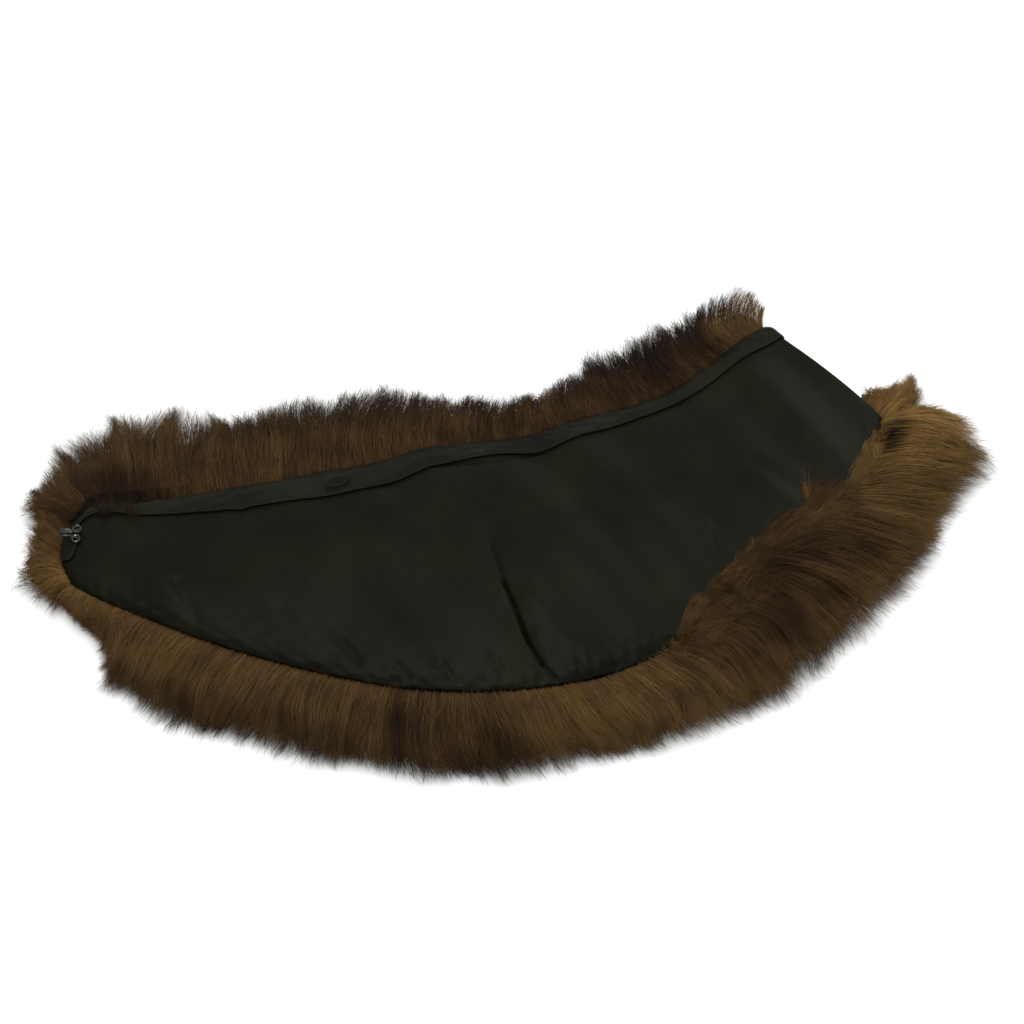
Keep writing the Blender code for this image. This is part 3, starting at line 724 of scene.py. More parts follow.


# The fur along the rim: its tone at the seam, half-way and at the tips (0 near black, 1 straw), the length
# of its hairs, how much they gather into locks, how much they stray, how far along the seam they bow
# half-way, how far they lean along it at the tips, and how far the tips rise
# Where the tips are lighter than half-way out, that is partly the hair's own colour and partly painted
# light shining through the hair's ends
FurPlace = namedtuple("FurPlace", "place root middle tip reach gather shag bow lean rise", defaults=[0])
FUR_PLACES = [FurPlace(*row) for row in (
    (0.000, 0.44, 0.42, 0.40, 0.30, 0.2, 1.0, 0, -20, 4),
    (0.022, 0.42, 0.40, 0.38, 0.70, 0.3, 1.0, 2, -10, 7),
    (0.050, 0.40, 0.37, 0.34, 1.18, 0.6, 0.7, 4, -3, 10),
    (0.090, 0.40, 0.28, 0.16, 1.25, 0.8, 0.8, 6, 4, 7),
    (0.130, 0.30, 0.12, 0.07, 1.06, 0.8, 1.6, 6, 5, 5),
    (0.215, 0.28, 0.11, 0.05, 1.02, 0.8, 1.9, 6, 2, 2),
    (0.255, 0.28, 0.12, 0.06, 0.84, 0.8, 1.8, 5, 1, 1),
    (0.290, 0.28, 0.13, 0.08, 0.87, 0.7, 1.8, 4, 0),
    (0.340, 0.30, 0.25, 0.20, 0.98, 0.6, 1.6, 3, 0),
    (0.380, 0.30, 0.27, 0.22, 0.90, 0.5, 1.5, 2, 0),
    (0.440, 0.31, 0.21, 0.12, 0.74, 0.4, 1.5, 0, 0),
    (0.520, 0.32, 0.22, 0.12, 0.86, 0.4, 1.5, 0, 0),
    (0.580, 0.33, 0.25, 0.12, 1.00, 0.4, 1.5, 0, 0),
    (0.680, 0.35, 0.27, 0.17, 1.06, 0.4, 1.4, 0, 0),
    (0.790, 0.33, 0.30, 0.30, 1.09, 0.4, 1.5, 0, 0),
    (0.850, 0.28, 0.30, 0.38, 1.24, 0.5, 1.6, 0, 0),
    (0.960, 0.22, 0.28, 0.38, 1.28, 0.5, 1.6, 0, 0),
    (1.000, 0.22, 0.28, 0.38, 0.92, 0.5, 1.6, 0, -1),
    (1.040, 0.22, 0.28, 0.38, 0.82, 0.6, 1.6, 0, -2),
    (1.120, 0.24, 0.28, 0.36, 0.78, 0.7, 1.6, 0, -3),
    (1.320, 0.30, 0.30, 0.38, 0.62, 0.9, 1.6, 0, -6),
    (1.450, 0.38, 0.34, 0.40, 0.56, 1.1, 1.6, 0, -8),
    (1.520, 0.44, 0.36, 0.36, 0.72, 1.3, 1.7, 0, -8),
    (1.575, 0.46, 0.38, 0.34, 0.86, 1.4, 1.7, 0, -7),
    (1.630, 0.50, 0.40, 0.32, 1.06, 1.5, 1.7, 0, -6),
    (1.690, 0.50, 0.42, 0.32, 0.76, 1.5, 1.7, 0, -4),
    (1.740, 0.52, 0.42, 0.30, 0.98, 1.5, 1.7, 0, 0),
    (1.800, 0.52, 0.42, 0.30, 0.58, 1.5, 1.7, 0, 5),
    (1.850, 0.52, 0.42, 0.30, 0.58, 1.5, 1.7, 0, 6),
    (1.905, 0.52, 0.42, 0.30, 0.38, 1.5, 1.7, 0, 14),
    (1.960, 0.52, 0.42, 0.30, 0.42, 1.5, 1.7, 0, 18),
    (2.010, 0.50, 0.40, 0.30, 0.44, 1.4, 1.7, 0, 20),
    (2.045, 0.50, 0.40, 0.30, 0.68, 1.2, 1.6, 0, 13),
    (2.070, 0.48, 0.38, 0.30, 0.76, 1.0, 1.4, 0, 7),
    (2.120, 0.46, 0.38, 0.32, 1.00, 0.5, 1.2, 0, -5),
    (2.160, 0.46, 0.38, 0.30, 1.02, 0.4, 1.1, 0, -9),
    (2.250, 0.44, 0.33, 0.22, 1.01, 0.4, 1.0, 0, -12),
    (2.360, 0.41, 0.33, 0.29, 1.00, 0.4, 1.0, 0, -7),
    (2.440, 0.37, 0.25, 0.22, 0.98, 0.5, 1.0, 0, 0),
    (2.520, 0.46, 0.38, 0.35, 0.99, 0.4, 1.0, 0, 4),
    (2.620, 0.43, 0.38, 0.38, 0.96, 0.4, 1.1, 3, 5),
    (2.700, 0.30, 0.25, 0.38, 0.97, 0.4, 1.2, 9, 11),
    (2.770, 0.31, 0.27, 0.42, 0.85, 0.5, 1.3, 12, 19),
    (2.840, 0.32, 0.29, 0.45, 0.86, 0.5, 1.3, 12, 19),
    (2.910, 0.42, 0.39, 0.49, 0.90, 0.5, 1.3, 10, 9),
    (2.960, 0.50, 0.48, 0.52, 1.02, 0.6, 1.4, 8, 0, 1),
    (3.000, 0.56, 0.54, 0.53, 1.04, 0.6, 1.4, 5, -6, 4),
    (3.060, 0.57, 0.55, 0.50, 1.03, 0.6, 1.6, 2, 0, 2),
    (3.100, 0.54, 0.52, 0.48, 1.10, 0.6, 1.7, 0, -9, 2),
    (3.140, 0.50, 0.48, 0.46, 1.02, 0.6, 1.9, 0, -8),
)]

# Darker and lighter spots in the fur, or over the lining's edge; the second is a painted shadow
Spot = namedtuple("Spot", "x y long wide turn tone")
SPOTS = [Spot(*row) for row in (
    (-52, -126, 22, 5, -88, -0.16),
    # Painted shadow: the dark lens-shaped gap in the fur by the fold's outer corner, where the lining's end
    # meets the fan
    (191, 42, 9, 2.4, 66, -1.10),
    (132, -40, 30, 9, 38, -0.09),
    (-196, 14, 13, 9, -25, -0.16),
    (76, 92, 14, 11, 130, -0.06),
    (122, 134, 16, 7, 120, 0.06),
    (40, -120, 40, 9, 20, 0.05),
    (212, 50, 26, 16, 10, 0.06),
)]


def base_tone(place, share):
    root, middle, tip = (from_table(FUR_PLACES, name, place) for name in ("root", "middle", "tip"))
    inner = root + (middle - root) * np.clip(share * 2.0, 0.0, 1.0)
    return inner + (tip - middle) * np.clip(share * 2.0 - 1.0, 0.0, 1.0)


def spot_tone_and_shadow(point):
    tone = np.zeros(point.shape[:-1])
    for spot in SPOTS:
        angle = math.radians(spot.turn)
        way = point[..., :2] - (spot.x, spot.y)
        along = way @ np.array([math.cos(angle), math.sin(angle)])
        across = way @ np.array([-math.sin(angle), math.cos(angle)])
        tone += spot.tone * np.exp(-((along / spot.long) ** 2) - (across / spot.wide) ** 2)
    return tone


# Kinds of hair: how many, points in each, where the roots lie, and shortest and longest, as shares of the
# reach, thinnest and thickest in millimetres, how far a few pass the edge, and how much each strays
Hair = namedtuple("Hair", "count points root_from root_to shortest longest thin thick past stray")
HAIRS = [Hair(*row) for row in (
    (41000, 4, -0.02, 0.80, 0.18, 0.36, 0.12, 0.24, 0.05, 1.6),
    (34000, 5, -0.02, 0.60, 0.34, 0.60, 0.13, 0.27, 0.08, 1.2),
    (8000, 6, -0.02, 0.30, 0.60, 0.95, 0.12, 0.25, 0.10, 1.0),
    (37200, 4, 0.54, 0.96, 0.16, 0.36, 0.05, 0.13, 0.20, 1.9),
)]
STRAND_PIECES = 5
LOWER_SHARE = 0.24
FUR_SEED = 20

# Tufts that the hairs gather in, the large and the small ones: their spacing half-way out, how much longer
# the hairs in their middle are, the least and the most that they gather, and how their tones differ
TuftKind = namedtuple("TuftKind", "spacing longer least most tone")
LOCKS = TuftKind(13.0, 0.09, 0.0, 0.2, 0.015)
CLUMPS = TuftKind(3.2, 0.09, 0.1, 0.6, 0.020)
SHORTER_SHARE = 0.6
SPACING_RANGE = (0.5, 1.5)
SPARE_TUFTS = 1.3


def tuft_centres(path, spacing, rng):
    """Places along the seam, unevenly spaced by about the spacing half-way out in the fur."""
    places, length = path.grown_length()
    steps = rng.uniform(*SPACING_RANGE, int(length[-1] / spacing * SPARE_TUFTS)) * spacing
    marks = np.cumsum(steps)
    return np.interp(marks[marks < length[-1]], length, places)


def nearest_index(values, sorted_marks):
    right = np.clip(np.searchsorted(sorted_marks, values), 1, len(sorted_marks) - 1)
    left = right - 1
    return np.where(values - sorted_marks[left] < sorted_marks[right] - values, left, right)


def nearest_tuft(place, marks):
    """The nearest tuft to each place, and how far aside of its middle the place is, 0 to 1."""
    nearest = nearest_index(place, marks)
    half = np.gradient(marks)[nearest] / 2
    return nearest, np.clip(np.abs(place - marks[nearest]) / half, 0.0, 1.0) ** 2


# A ribbon's width follows a sine, from this share of a half turn and over that one. In the map for baking
# its two sides stand apart by a little tone
TAPER_FROM = 0.30
TAPER_OVER = 0.62
SIDE_TONE = 0.008


def ribbon_mesh(name, groups):
    """Tapered ribbons, one for each strand; a group's strands all have the same count of points."""
    parts = []
    first = 0
    for line, width, roll, normal, tone, along in groups:
        count, steps = line.shape[:2]
        tangent = unit(np.gradient(line, axis=1))
        flat = unit(np.cross(tangent, normal))
        across = flat * np.cos(roll)[:, None, None] + np.cross(tangent, flat) * np.sin(roll)[:, None, None]
        taper = np.sin(np.pi * (TAPER_FROM + TAPER_OVER * np.arange(steps - 1) / (steps - 1)))
        half = across[:, :-1] * (width[:, None] * taper)[..., None] / 2
        each = 2 * steps - 1
        ribbon = np.empty((count, each, 3))
        ribbon[:, 0:-1:2] = line[:, :-1] + half
        ribbon[:, 1:-1:2] = line[:, :-1] - half
        ribbon[:, -1] = line[:, -1]
        spread = np.repeat(np.arange(steps), 2)[:-1]
        start = (np.arange(count) * each)[:, None, None] + first
        quad = np.arange(steps - 2)[:, None] * 2 + np.array([0, 1, 3, 2])
        tri = np.array([[each - 3, each - 2, each - 1]])
        aside = np.where(np.arange(each) % 2 == 0, SIDE_TONE, -SIDE_TONE)
        both_tones = np.stack([tone[:, spread], tone[:, spread] + aside], -1)
        parts.append((
            ribbon.reshape(-1, 3),
            normal[:, spread].reshape(-1, 3),
            (quad + start).reshape(-1, 4),
            (tri + start).reshape(-1, 3),
            both_tones.reshape(-1, 2),
            along[:, spread].ravel(),
        ))
        first += count * each
    points, normals, quads, tris, tones, alongs = map(np.concatenate, zip(*parts))
    for faces in (quads, tris):
        a, b, c = (points[faces[:, k]] for k in range(3))
        away = np.sum(np.cross(b - a, c - a) * normals[faces[:, 1]], -1) < 0
        faces[away] = faces[away, ::-1]
    mesh = mesh_from_faces(name, points, quads, tris)
    mesh.normals_split_custom_set_from_vertices(normals)
    point_attribute(mesh, "tone", tones[:, 0])
    point_attribute(mesh, "along", alongs)
    corner_uv(mesh, "OFBake", np.clip(np.stack([tones[:, 1], alongs], -1), 0.0, 1.0))
    return mesh


# Chance in each hair's depth, gathering and reach, and how strongly the tufts and the shag take part
DEPTH_POWER = 2.2
GATHER_LEAST = 0.4
CLUMP_GATHER_POWER = 1.4
LOCK_GATHER_POWER = 2.0
TUFT_REACH = 0.8
SHAG_POWER = 1.5
PAST_LESS = 0.3
SHORTFALL = 0.06
SHAG_SHORTFALL = 0.16
ROOT_LEAST = -0.02
SHARE_MOST = 1.2

# Bend along the seam and lift, in millimetres: from the small tufts, the large tufts and the hair itself
Course = namedtuple("Course", "clump lock mean hair")
BEND = Course(0.6, 3.2, 0.0, 1.2)
LIFT = Course(0.8, 1.4, 0.3, 0.8)
BEND_POWER = 1.3
BOW_POWER = 0.8
RISE_POWER = 1.5
RISE_MOST = 1.3
ROOT_SINK = 0.15
LOWER_LIFT = 0.4
STRAY_POWER = 1.5

# Turns that neighbouring hairs share, in millimetres
TURNS = (Field(34.0, 1, (1.5, 1.5, 0.9)), Field(11.0, 2, (0.25, 0.25, 0.5)))
FINE_TURN = Field(5.0, 3, 0.22)

# The way that a hair faces: its tilt out at the root and the tip, and what its layer, upper or lower, and
# its depth add
TILT_ROOT = 0.10
TILT_TIP = 0.95
TILT_POWER = 2.2
TILT_MOST = 1.3
LAYER_TILTS = (1.0, 1.4)
DEPTH_TILTS = (0.6, 1.6)
NORMAL_TURN = Field(9.0, 4, 0.20)
NORMAL_CHANCE = 0.08

# How the tones of hairs differ, the painted shade at their roots and on the lower layer, and how far their
# ribbons roll
HAIR_TONE = 0.038
TONE_TURN = Field(22.0, 5, 0.022)
ROOT_PAINTED_SHADE = 0.06
LOWER_PAINTED_SHADE = 0.94
TONE_RANGE = (0.02, 0.98)
HAIR_ROLL = 0.3


def strands(line, widths, normal, tone, along, rng):
    """Lines, widths, rolls, normals, tones and places along of a group of strands."""
    width = rng.uniform(*widths, len(line))
    roll = rng.normal(0.0, HAIR_ROLL, len(line))
    return line, width, roll, unit(normal), np.clip(tone, *TONE_RANGE), along


def grow_hairs(path, kind, count, locks, clumps, rng):
    """The strands of one kind of hair, in the order of their places."""
    places, length = path.grown_length()
    place = np.interp(np.sort(rng.uniform(0.0, length[-1], count)), length, places)
    upper = rng.random(count) > LOWER_SHARE
    depth = rng.random(count) ** DEPTH_POWER
    lock, lock_aside = nearest_tuft(place, locks.place)
    clump, clump_aside = nearest_tuft(place, clumps.place)
    names = ("reach", "gather", "shag", "bow", "lean", "rise")
    reach, gather, shag, bow, lean, rise = (from_table(FUR_PLACES, name, place) for name in names)
    gather = gather * rng.uniform(GATHER_LEAST, 1.0, count)

    uneven = locks.length[lock] * (1.0 - lock_aside) + clumps.length[clump] * (1.0 - clump_aside)
    end = 1.0 + uneven * TUFT_REACH * shag**SHAG_POWER
    end += kind.past * (rng.random(count) ** 2 - PAST_LESS) * shag
    end -= np.abs(rng.normal(0.0, 1.0, count)) * (SHORTFALL + SHAG_SHORTFALL * (shag - 1.0))
    length = rng.uniform(kind.shortest, kind.longest, count)
    root = rng.uniform(kind.root_from, kind.root_to, count)
    tip = np.minimum(root + length, end * reach)
    root = np.maximum(np.minimum(root, tip - kind.shortest), ROOT_LEAST)

    grown = np.linspace(0.0, 1.0, kind.points)
    share = root[:, None] + (tip - root)[:, None] * grown
    outward = np.clip(share, 0.0, SHARE_MOST)
    to_clump = (gather * clumps.gather[clump])[:, None] * outward**CLUMP_GATHER_POWER
    to_lock = (gather * locks.gather[lock])[:, None] * outward**LOCK_GATHER_POWER
    eased = place[:, None] + (clumps.place[clump] - place)[:, None] * to_clump
    eased += (locks.place[lock] - place)[:, None] * to_lock
    line, out, side = rim_point(path, eased, share, depth[:, None], upper[:, None])

    tufts = clumps.bend[clump] * BEND.clump + np.interp(place, locks.place, locks.bend) * BEND.lock
    bend = tufts[:, None] * outward**2
    bend += rng.normal(BEND.mean, BEND.hair * kind.stray, count)[:, None] * grown**BEND_POWER
    bend *= shag[:, None]
    bend += bow[:, None] * np.sin(np.pi * np.clip(share, 0.0, 1.0) ** BOW_POWER)
    bend += lean[:, None] * outward
    line[..., :2] += side * bend[..., None]
    tufts = clumps.lift[clump] * LIFT.clump + np.interp(place, locks.place, locks.lift) * LIFT.lock
    lift = tufts[:, None] * outward
    lift += rng.normal(LIFT.mean, LIFT.hair * kind.stray, count)[:, None] * grown
    lift -= ROOT_SINK * (1.0 - grown) ** 2
    line[..., 2] += lift * np.where(upper, shag, LOWER_LIFT)[:, None]
    line[..., 2] += rise[:, None] * np.clip(share, 0.0, RISE_MOST) ** RISE_POWER
    stray = (outward**STRAY_POWER)[..., None] * shag[:, None, None]
    for turn in TURNS:
        line += sway(line, turn) * stray
    line += sway(line, FINE_TURN) * grown[:, None] * kind.stray
    line[..., 2] = np.maximum(line[..., 2], FLOOR_CLEARANCE)

    tilt = np.clip(TILT_ROOT + TILT_TIP * outward**TILT_POWER, 0.0, TILT_MOST)
    tilt = tilt * np.where(upper, *LAYER_TILTS)[:, None]
    tilt = tilt + (depth * np.where(upper, *DEPTH_TILTS))[:, None]
    normal = np.concatenate([out * np.sin(tilt)[..., None], np.cos(tilt)[..., None]], -1)
    normal = normal + sway(line, NORMAL_TURN) + rng.normal(0.0, NORMAL_CHANCE, (count, 1, 3))

    tone = base_tone(eased, outward)
    tone += (clumps.tone[clump] + locks.tone[lock])[:, None]
    tone += rng.normal(0.0, HAIR_TONE, count)[:, None]
    tone += sway(line, TONE_TURN)[..., 0] + spot_tone_and_shadow(line)
    # Painted shade: darker towards the roots, and all through the lower layer's hairs
    tone -= ROOT_PAINTED_SHADE * (1.0 - grown) ** 2
    tone = tone * np.where(upper, 1.0, LOWER_PAINTED_SHADE)[:, None]

    return strands(line, (kind.thin, kind.thick), normal, tone, np.clip(share, 0.0, 1.0), rng)


Tufts = namedtuple("Tufts", "place length gather bend lift tone")


def make_tufts(path, kind, rng):
    """Where the hairs gather, and how each tuft differs from its neighbours."""
    place = tuft_centres(path, kind.spacing, rng)
    count = len(place)
    return Tufts(
        place,
        rng.uniform(-kind.longer * SHORTER_SHARE, kind.longer, count),
        rng.uniform(kind.least, kind.most, count),
        rng.normal(0.0, 1.0, count),
        rng.normal(0.0, 1.0, count),
        rng.normal(0.0, kind.tone, count),
    )


# About how long the two edges are, in millimetres
EDGE_LENGTHS = (400.0, 560.0)

# Wisps are hairs that lie back over the lining: the stretch of the seam, how many, how far out in the fur
# they start, as a share of its reach, their longest length and their rise half-way in millimetres, their
# angle from square inward towards the fold, how much more it turns from root to tip, their tone beside the
# fur's own, and the thickest one
Wisp = namedtuple("Wisp", "start end count out length arch angle curl tone thick")
WISPS = [Wisp(*row) for row in (
    (2.656, 2.915, 4800, 0.30, 36, 1.6, 92, 40, -0.03, 0.18),
    (2.662, 2.920, 3400, 0.10, 32, 1.4, 74, 34, -0.03, 0.12),
    (2.846, 2.918, 1300, 0.03, 24, 1.6, 42, 6, 0.01, 0.13),
    (2.700, 2.860, 500, 0.03, 18, 1.4, 60, 30, -0.02, 0.11),
    (2.900, 2.985, 1700, 0.14, 30, 1.8, 84, 50, -0.02, 0.15),
    (0.815, 1.020, 3400, 0.10, 28, 1.2, -16, 10, -0.13, 0.16),
)]
WISP_POINTS = 5

# Their tufts' spacing along the seam and how unevenly it runs, how much they gather, and their chances
WISP_TUFT = 0.009
WISP_TUFT_CHANCE = 0.4
WISP_GATHER = 0.6
WISP_TUFT_TONE = 0.04
WISP_TUFT_ANGLE = 0.14

# Their lengths: over what they fade at a stretch's ends, and the shares of the shortest hairs and tufts
WISP_FADE = 0.03
WISP_SHORTEST = 0.35
WISP_SHORT_TUFT = 0.25
WISP_SHORT_ASIDE = 0.7
WISP_LENGTH_TURN = Field(26.0, 11, 0.6)
WISP_LENGTH_MEAN = 0.95
WISP_LENGTH_RANGE = (0.4, 1.5)

# Their courses, how high they stay above the cloth, and their faces, tones and widths
WISP_ANGLE = 0.10
WISP_CURL_MIDDLE = 0.6
WISP_SINK = 0.8
WISP_ARCH_RANGE = (0.4, 1.2)
WISP_ARCH_POWER = 0.8
WISP_TURN = Field(20.0, 6, (1.0, 1.0, 0.3))
WISP_LIFT = 0.6
WISP_ROOT_LIFT = 1.3
WISP_TILT = 0.15
WISP_NORMAL_TURN = Field(6.0, 7, 0.3)
WISP_TONE = 0.05
WISP_TIP_SHADE = 0.10
WISP_THINNEST = 0.07
WISP_ALONG = (0.1, 0.9)


def over_lining(point, outer, s):
    """The lining's height under points at s along it, with the band's at the neck edge, and 0 beside it."""
    start, end = edge("neck", s), edge("outer", s)
    width = np.linalg.norm(end - start, axis=-1)
    share = np.sum((point[..., :2] - start) * (end - start), -1) / width**2
    on_lining = (share > 0.0) & (share < 1.0)
    band = np.where(outer, 0.0, BAND_WALL + GAP + BAND_LIFT)
    return np.where(on_lining, panel(s, np.clip(share, 0.0, 1.0))[..., 2] + band, 0.0)


def grow_wisps(path, row, rng):
    """The strands of one row of the table."""
    count = row.count
    place = np.sort(rng.uniform(row.start, row.end, count))
    tufts = np.arange(row.start, row.end, WISP_TUFT)
    tufts += rng.uniform(-WISP_TUFT_CHANCE, WISP_TUFT_CHANCE, len(tufts)) * WISP_TUFT
    tuft, aside = nearest_tuft(place, tufts)
    long = rng.random(len(tufts))
    tone = rng.normal(0.0, WISP_TUFT_TONE, len(tufts))
    turn = rng.normal(0.0, WISP_TUFT_ANGLE, len(tufts))
    grown = np.linspace(0.0, 1.0, WISP_POINTS)
    outer = (place > 1.5)[:, None]

    ends = np.minimum(1.0, np.minimum(place - row.start, row.end - place) / WISP_FADE)
    whole = WISP_SHORT_TUFT + (1.0 - WISP_SHORT_TUFT) * long[tuft] * (1.0 - WISP_SHORT_ASIDE * aside)
    length = row.length * ends * whole * rng.uniform(WISP_SHORTEST, 1.0, count)
    uneven = WISP_LENGTH_MEAN + sway(path.at(place)[0], WISP_LENGTH_TURN)[:, 0]
    length *= np.clip(uneven, *WISP_LENGTH_RANGE)
    eased = place[:, None] + (tufts[tuft] - place)[:, None] * WISP_GATHER * grown
    share = (row.out * rng.random(count))[:, None] * np.ones((1, WISP_POINTS))
    line, out, side = rim_point(path, eased, share, np.zeros((count, 1)), np.ones((count, 1), bool))
    angle = (turn[tuft] + rng.normal(0.0, WISP_ANGLE, count))[:, None]
    angle = angle + np.radians(row.angle + row.curl * (grown - WISP_CURL_MIDDLE))
    run = -out * np.cos(angle)[..., None] + side * np.sin(angle)[..., None]
    line[..., :2] += run * (length[:, None] * grown)[..., None]
    arch = row.arch * rng.uniform(*WISP_ARCH_RANGE, count)
    line[..., 2] += -WISP_SINK + arch[:, None] * np.sin(np.pi * grown**WISP_ARCH_POWER)
    line += sway(line, WISP_TURN) * grown[:, None]
    along = np.sum(run * side, -1) * length[:, None] * grown
    along = along / np.where(outer, EDGE_LENGTHS[1], -EDGE_LENGTHS[0])
    s = np.clip(np.where(outer, eased - 2.0, 1.0 - eased) + along, 0.0, 1.0)
    floor = over_lining(line, outer, s) + WISP_LIFT * (WISP_ROOT_LIFT - grown)
    line[..., 2] = np.maximum(line[..., 2], floor)

    normal = np.concatenate([-out * WISP_TILT, np.ones((*out.shape[:2], 1))], -1)
    normal = normal + sway(line, WISP_NORMAL_TURN)
    shade = base_tone(eased, np.zeros_like(share)) + spot_tone_and_shadow(line)
    shade += (row.tone * ends + tone[tuft] + rng.normal(0.0, WISP_TONE, count))[:, None]
    shade -= WISP_TIP_SHADE * grown**2
    along = np.tile(np.linspace(*WISP_ALONG, WISP_POINTS), (count, 1))
    return strands(line, (WISP_THINNEST, row.thick), normal, shade, along, rng)


def make_fur(path, material):
    rng = np.random.default_rng(FUR_SEED)
    locks = make_tufts(path, LOCKS, rng)
    clumps = make_tufts(path, CLUMPS, rng)
    grown = []
    for kind in HAIRS:
        count = kind.count
        grown.append(grow_hairs(path, kind, count, locks, clumps, rng))
    for k in range(STRAND_PIECES):
        name = f"fur_hair_{k + 1}"
        groups = []
        for arrays in grown:
            first, last = (len(arrays[0]) * (k + step) // STRAND_PIECES for step in (0, 1))
            groups.append([array[first:last] for array in arrays])
        new_object(name, ribbon_mesh(name, groups), material)
    wisps = [grow_wisps(path, row, rng) for row in WISPS]
    new_object("fur_wisps", ribbon_mesh("fur_wisps", wisps), material)


# Rings of the underfur, from inside over the upper layer, round the edge and under the lower one: share of
# the reach, depth in the layer, and whether the layer is the upper one
BODY_RINGS = (
    (0.00, 0.95, True), (0.00, 0.10, True), (0.12, 0.14, True), (0.28, 0.16, True), (0.44, 0.20, True),
    (0.56, 0.30, True), (0.64, 0.55, True), (0.58, 0.85, True), (0.46, 0.95, True), (0.46, 0.15, False),
    (0.58, 0.30, False), (0.66, 0.55, False), (0.58, 0.97, False), (0.34, 0.99, False), (0.00, 0.99, False),
)
BODY_COLUMNS = 700
# Painted shade: the underfur's tone is scaled by this, since it lies in shade under the hairs
BODY_PAINTED_SHADE = 0.70
BODY_TONE = 0.05
BODY_INSET = 6.0
BODY_INNER_LEVEL = 0.92


def end_fan(first, columns, middle, flip):
    """Triangles that close one end of a tube of points round its middle point."""
    a = np.arange(columns) + first
    b = np.roll(a, -1)
    return np.stack([*((b, a) if flip else (a, b)), np.full(columns, middle)], -1)


def make_fur_body(path, material):
    """The dense underfur as one closed body inside the hairs, between the two linings."""
    place = np.linspace(path.places[0], path.places[-1], BODY_COLUMNS)
    reach = np.minimum(from_table(FUR_PLACES, "reach", place), 1.0)
    rings = [
        rim_point(path, place, share * reach, depth, np.full(len(place), upper))[0]
        for share, depth, upper in BODY_RINGS
    ]
    foot, _, out, _ = path.at(place)
    rings.append(at_height(foot[:, :2] - out * BODY_INSET, foot[:, 2] * BODY_INNER_LEVEL))
    grid = np.stack(rings, 1)
    rows, columns = grid.shape[:2]
    points = np.concatenate([grid.reshape(-1, 3), grid[[0, -1]].mean(1)])
    quads = grid_quads(rows, columns, closed=True)
    first_fan = end_fan(0, columns, rows * columns, False)
    last_fan = end_fan((rows - 1) * columns, columns, rows * columns + 1, True)
    mesh = mesh_from_faces("fur_body", points, quads, np.concatenate([first_fan, last_fan]))
    share = np.array([ring[0] for ring in BODY_RINGS] + [0.0])
    tone = base_tone(place[:, None], share[None, :]) + spot_tone_and_shadow(grid)
    tone = tone + np.random.default_rng(FUR_SEED).normal(0.0, BODY_TONE, (rows, 1))
    # Painted shade: the underfur is darkened under the hairs
    tone = np.concatenate([tone.ravel(), tone[[0, -1], 0]]) * BODY_PAINTED_SHADE
    point_attribute(mesh, "tone", np.clip(tone, 0.0, 1.0))
    point_attribute(mesh, "along", np.concatenate([np.repeat(share[None, :], rows, 0).ravel(), share[:2]]))
    piece = new_object("fur_body", mesh, material)
    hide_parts("fur")
    return piece


# Hook, thread eye and stitches

# Lengths in millimetres; the hook's turns in degrees and the eye's in radians
HOOK_WIRE = 1.0
HOOK_WIRE_DRAWN = 0.9
HOOK_RING = 1.9
HOOK_RING_SPREAD = 2.9
HOOK_RING_START = 330
HOOK_RING_TURN = 330
HOOK_RING_STEPS = 18
HOOK_RING_RISE = 0.25
HOOK_SHANK = 6.5
HOOK_SHANK_HALF = 0.75
HOOK_SHANK_SPREAD = 1.5
HOOK_BEND = 1.3
HOOK_BEND_STEPS = 8
HOOK_BILL = 4.0
HOOK_BILL_RISE = 2.6
HOOK_BILL_MIDDLE = 0.6
HOOK_BILL_CLOSED = 0.5
HOOK_BILL_LIFT = 0.25
EYE_LENGTH = 12.5
EYE_HEIGHT = 5.0
EYE_TURN = 0.30
EYE_OPENING = 0.15
EYE_POINTEDNESS = 0.25
EYE_STEPS = 600
EYE_HEIGHT_EACH = 20
EYE_CORE_EACH = 8
EYE_WRAPS = 52
SEARCH_GRID = (401, 161)
EYE_CORE = 0.45
EYE_THREAD = 0.34
STITCH_THREAD = 0.26

# Rows of stitches: how many, the stretch of the panel, and whether they lie on the outer edge
StitchRow = namedtuple("StitchRow", "name count first last outer")
STITCH_ROWS = [
    StitchRow("band_stitches", 124, 0.03, 0.995, False),
    StitchRow("seam_stitches", 150, 0.0, 0.62, True),
]
STITCH_POINTS = 5
STITCH_TAPER = (0.08, 0.92)
STITCH_CHANCE = 0.0004
STITCH_LEAN = 0.25
STITCH_LIFT = 0.12
STITCH_RISE = 0.22
SEAM_STITCH_FROM = 1.6
SEAM_STITCH_LENGTH = 1.5
BAND_STITCH_INSET = 0.35
BAND_STITCH_LEAN = 0.4
BAND_STITCH_SIZE = (0.5, 1.7)
BAND_STITCH_LEVEL = 0.8


def tube(name, points, thickness, material, resolution):
    """A round wire or thread through points in millimetres."""
    curve = bpy.data.curves.new(name, "CURVE")
    curve.dimensions = "3D"
    curve.bevel_depth = thickness / 2 * MM
    curve.bevel_resolution = resolution
    curve.use_fill_caps = True
    spline = curve.splines.new("POLY")
    spline.points.add(len(points) - 1)
    for place, point in zip(spline.points, to_frame(points)):
        place.co = (*point, 1.0)
    return new_object(name, curve, material)


def surface_near(point):
    """(row, t) of the panel's points above places in the plan, one after another."""
    s, t = np.meshgrid(*(np.linspace(0.0, 1.0, count) for count in SEARCH_GRID), indexing="ij")
    places = plan(s, t)
    found = [np.argmin(np.sum((places - place) ** 2, -1)) for place in point]
    return s.ravel()[found], t.ravel()[found]


def cad_middle(node):
    """The middle of a CAD node's box in the plan, and its lowest height, in the tables' frame."""
    low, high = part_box(node)
    return np.array([(low.x + high.x) / 2, (low.y + high.y) / 2, low.z]) / MM - SHIFT


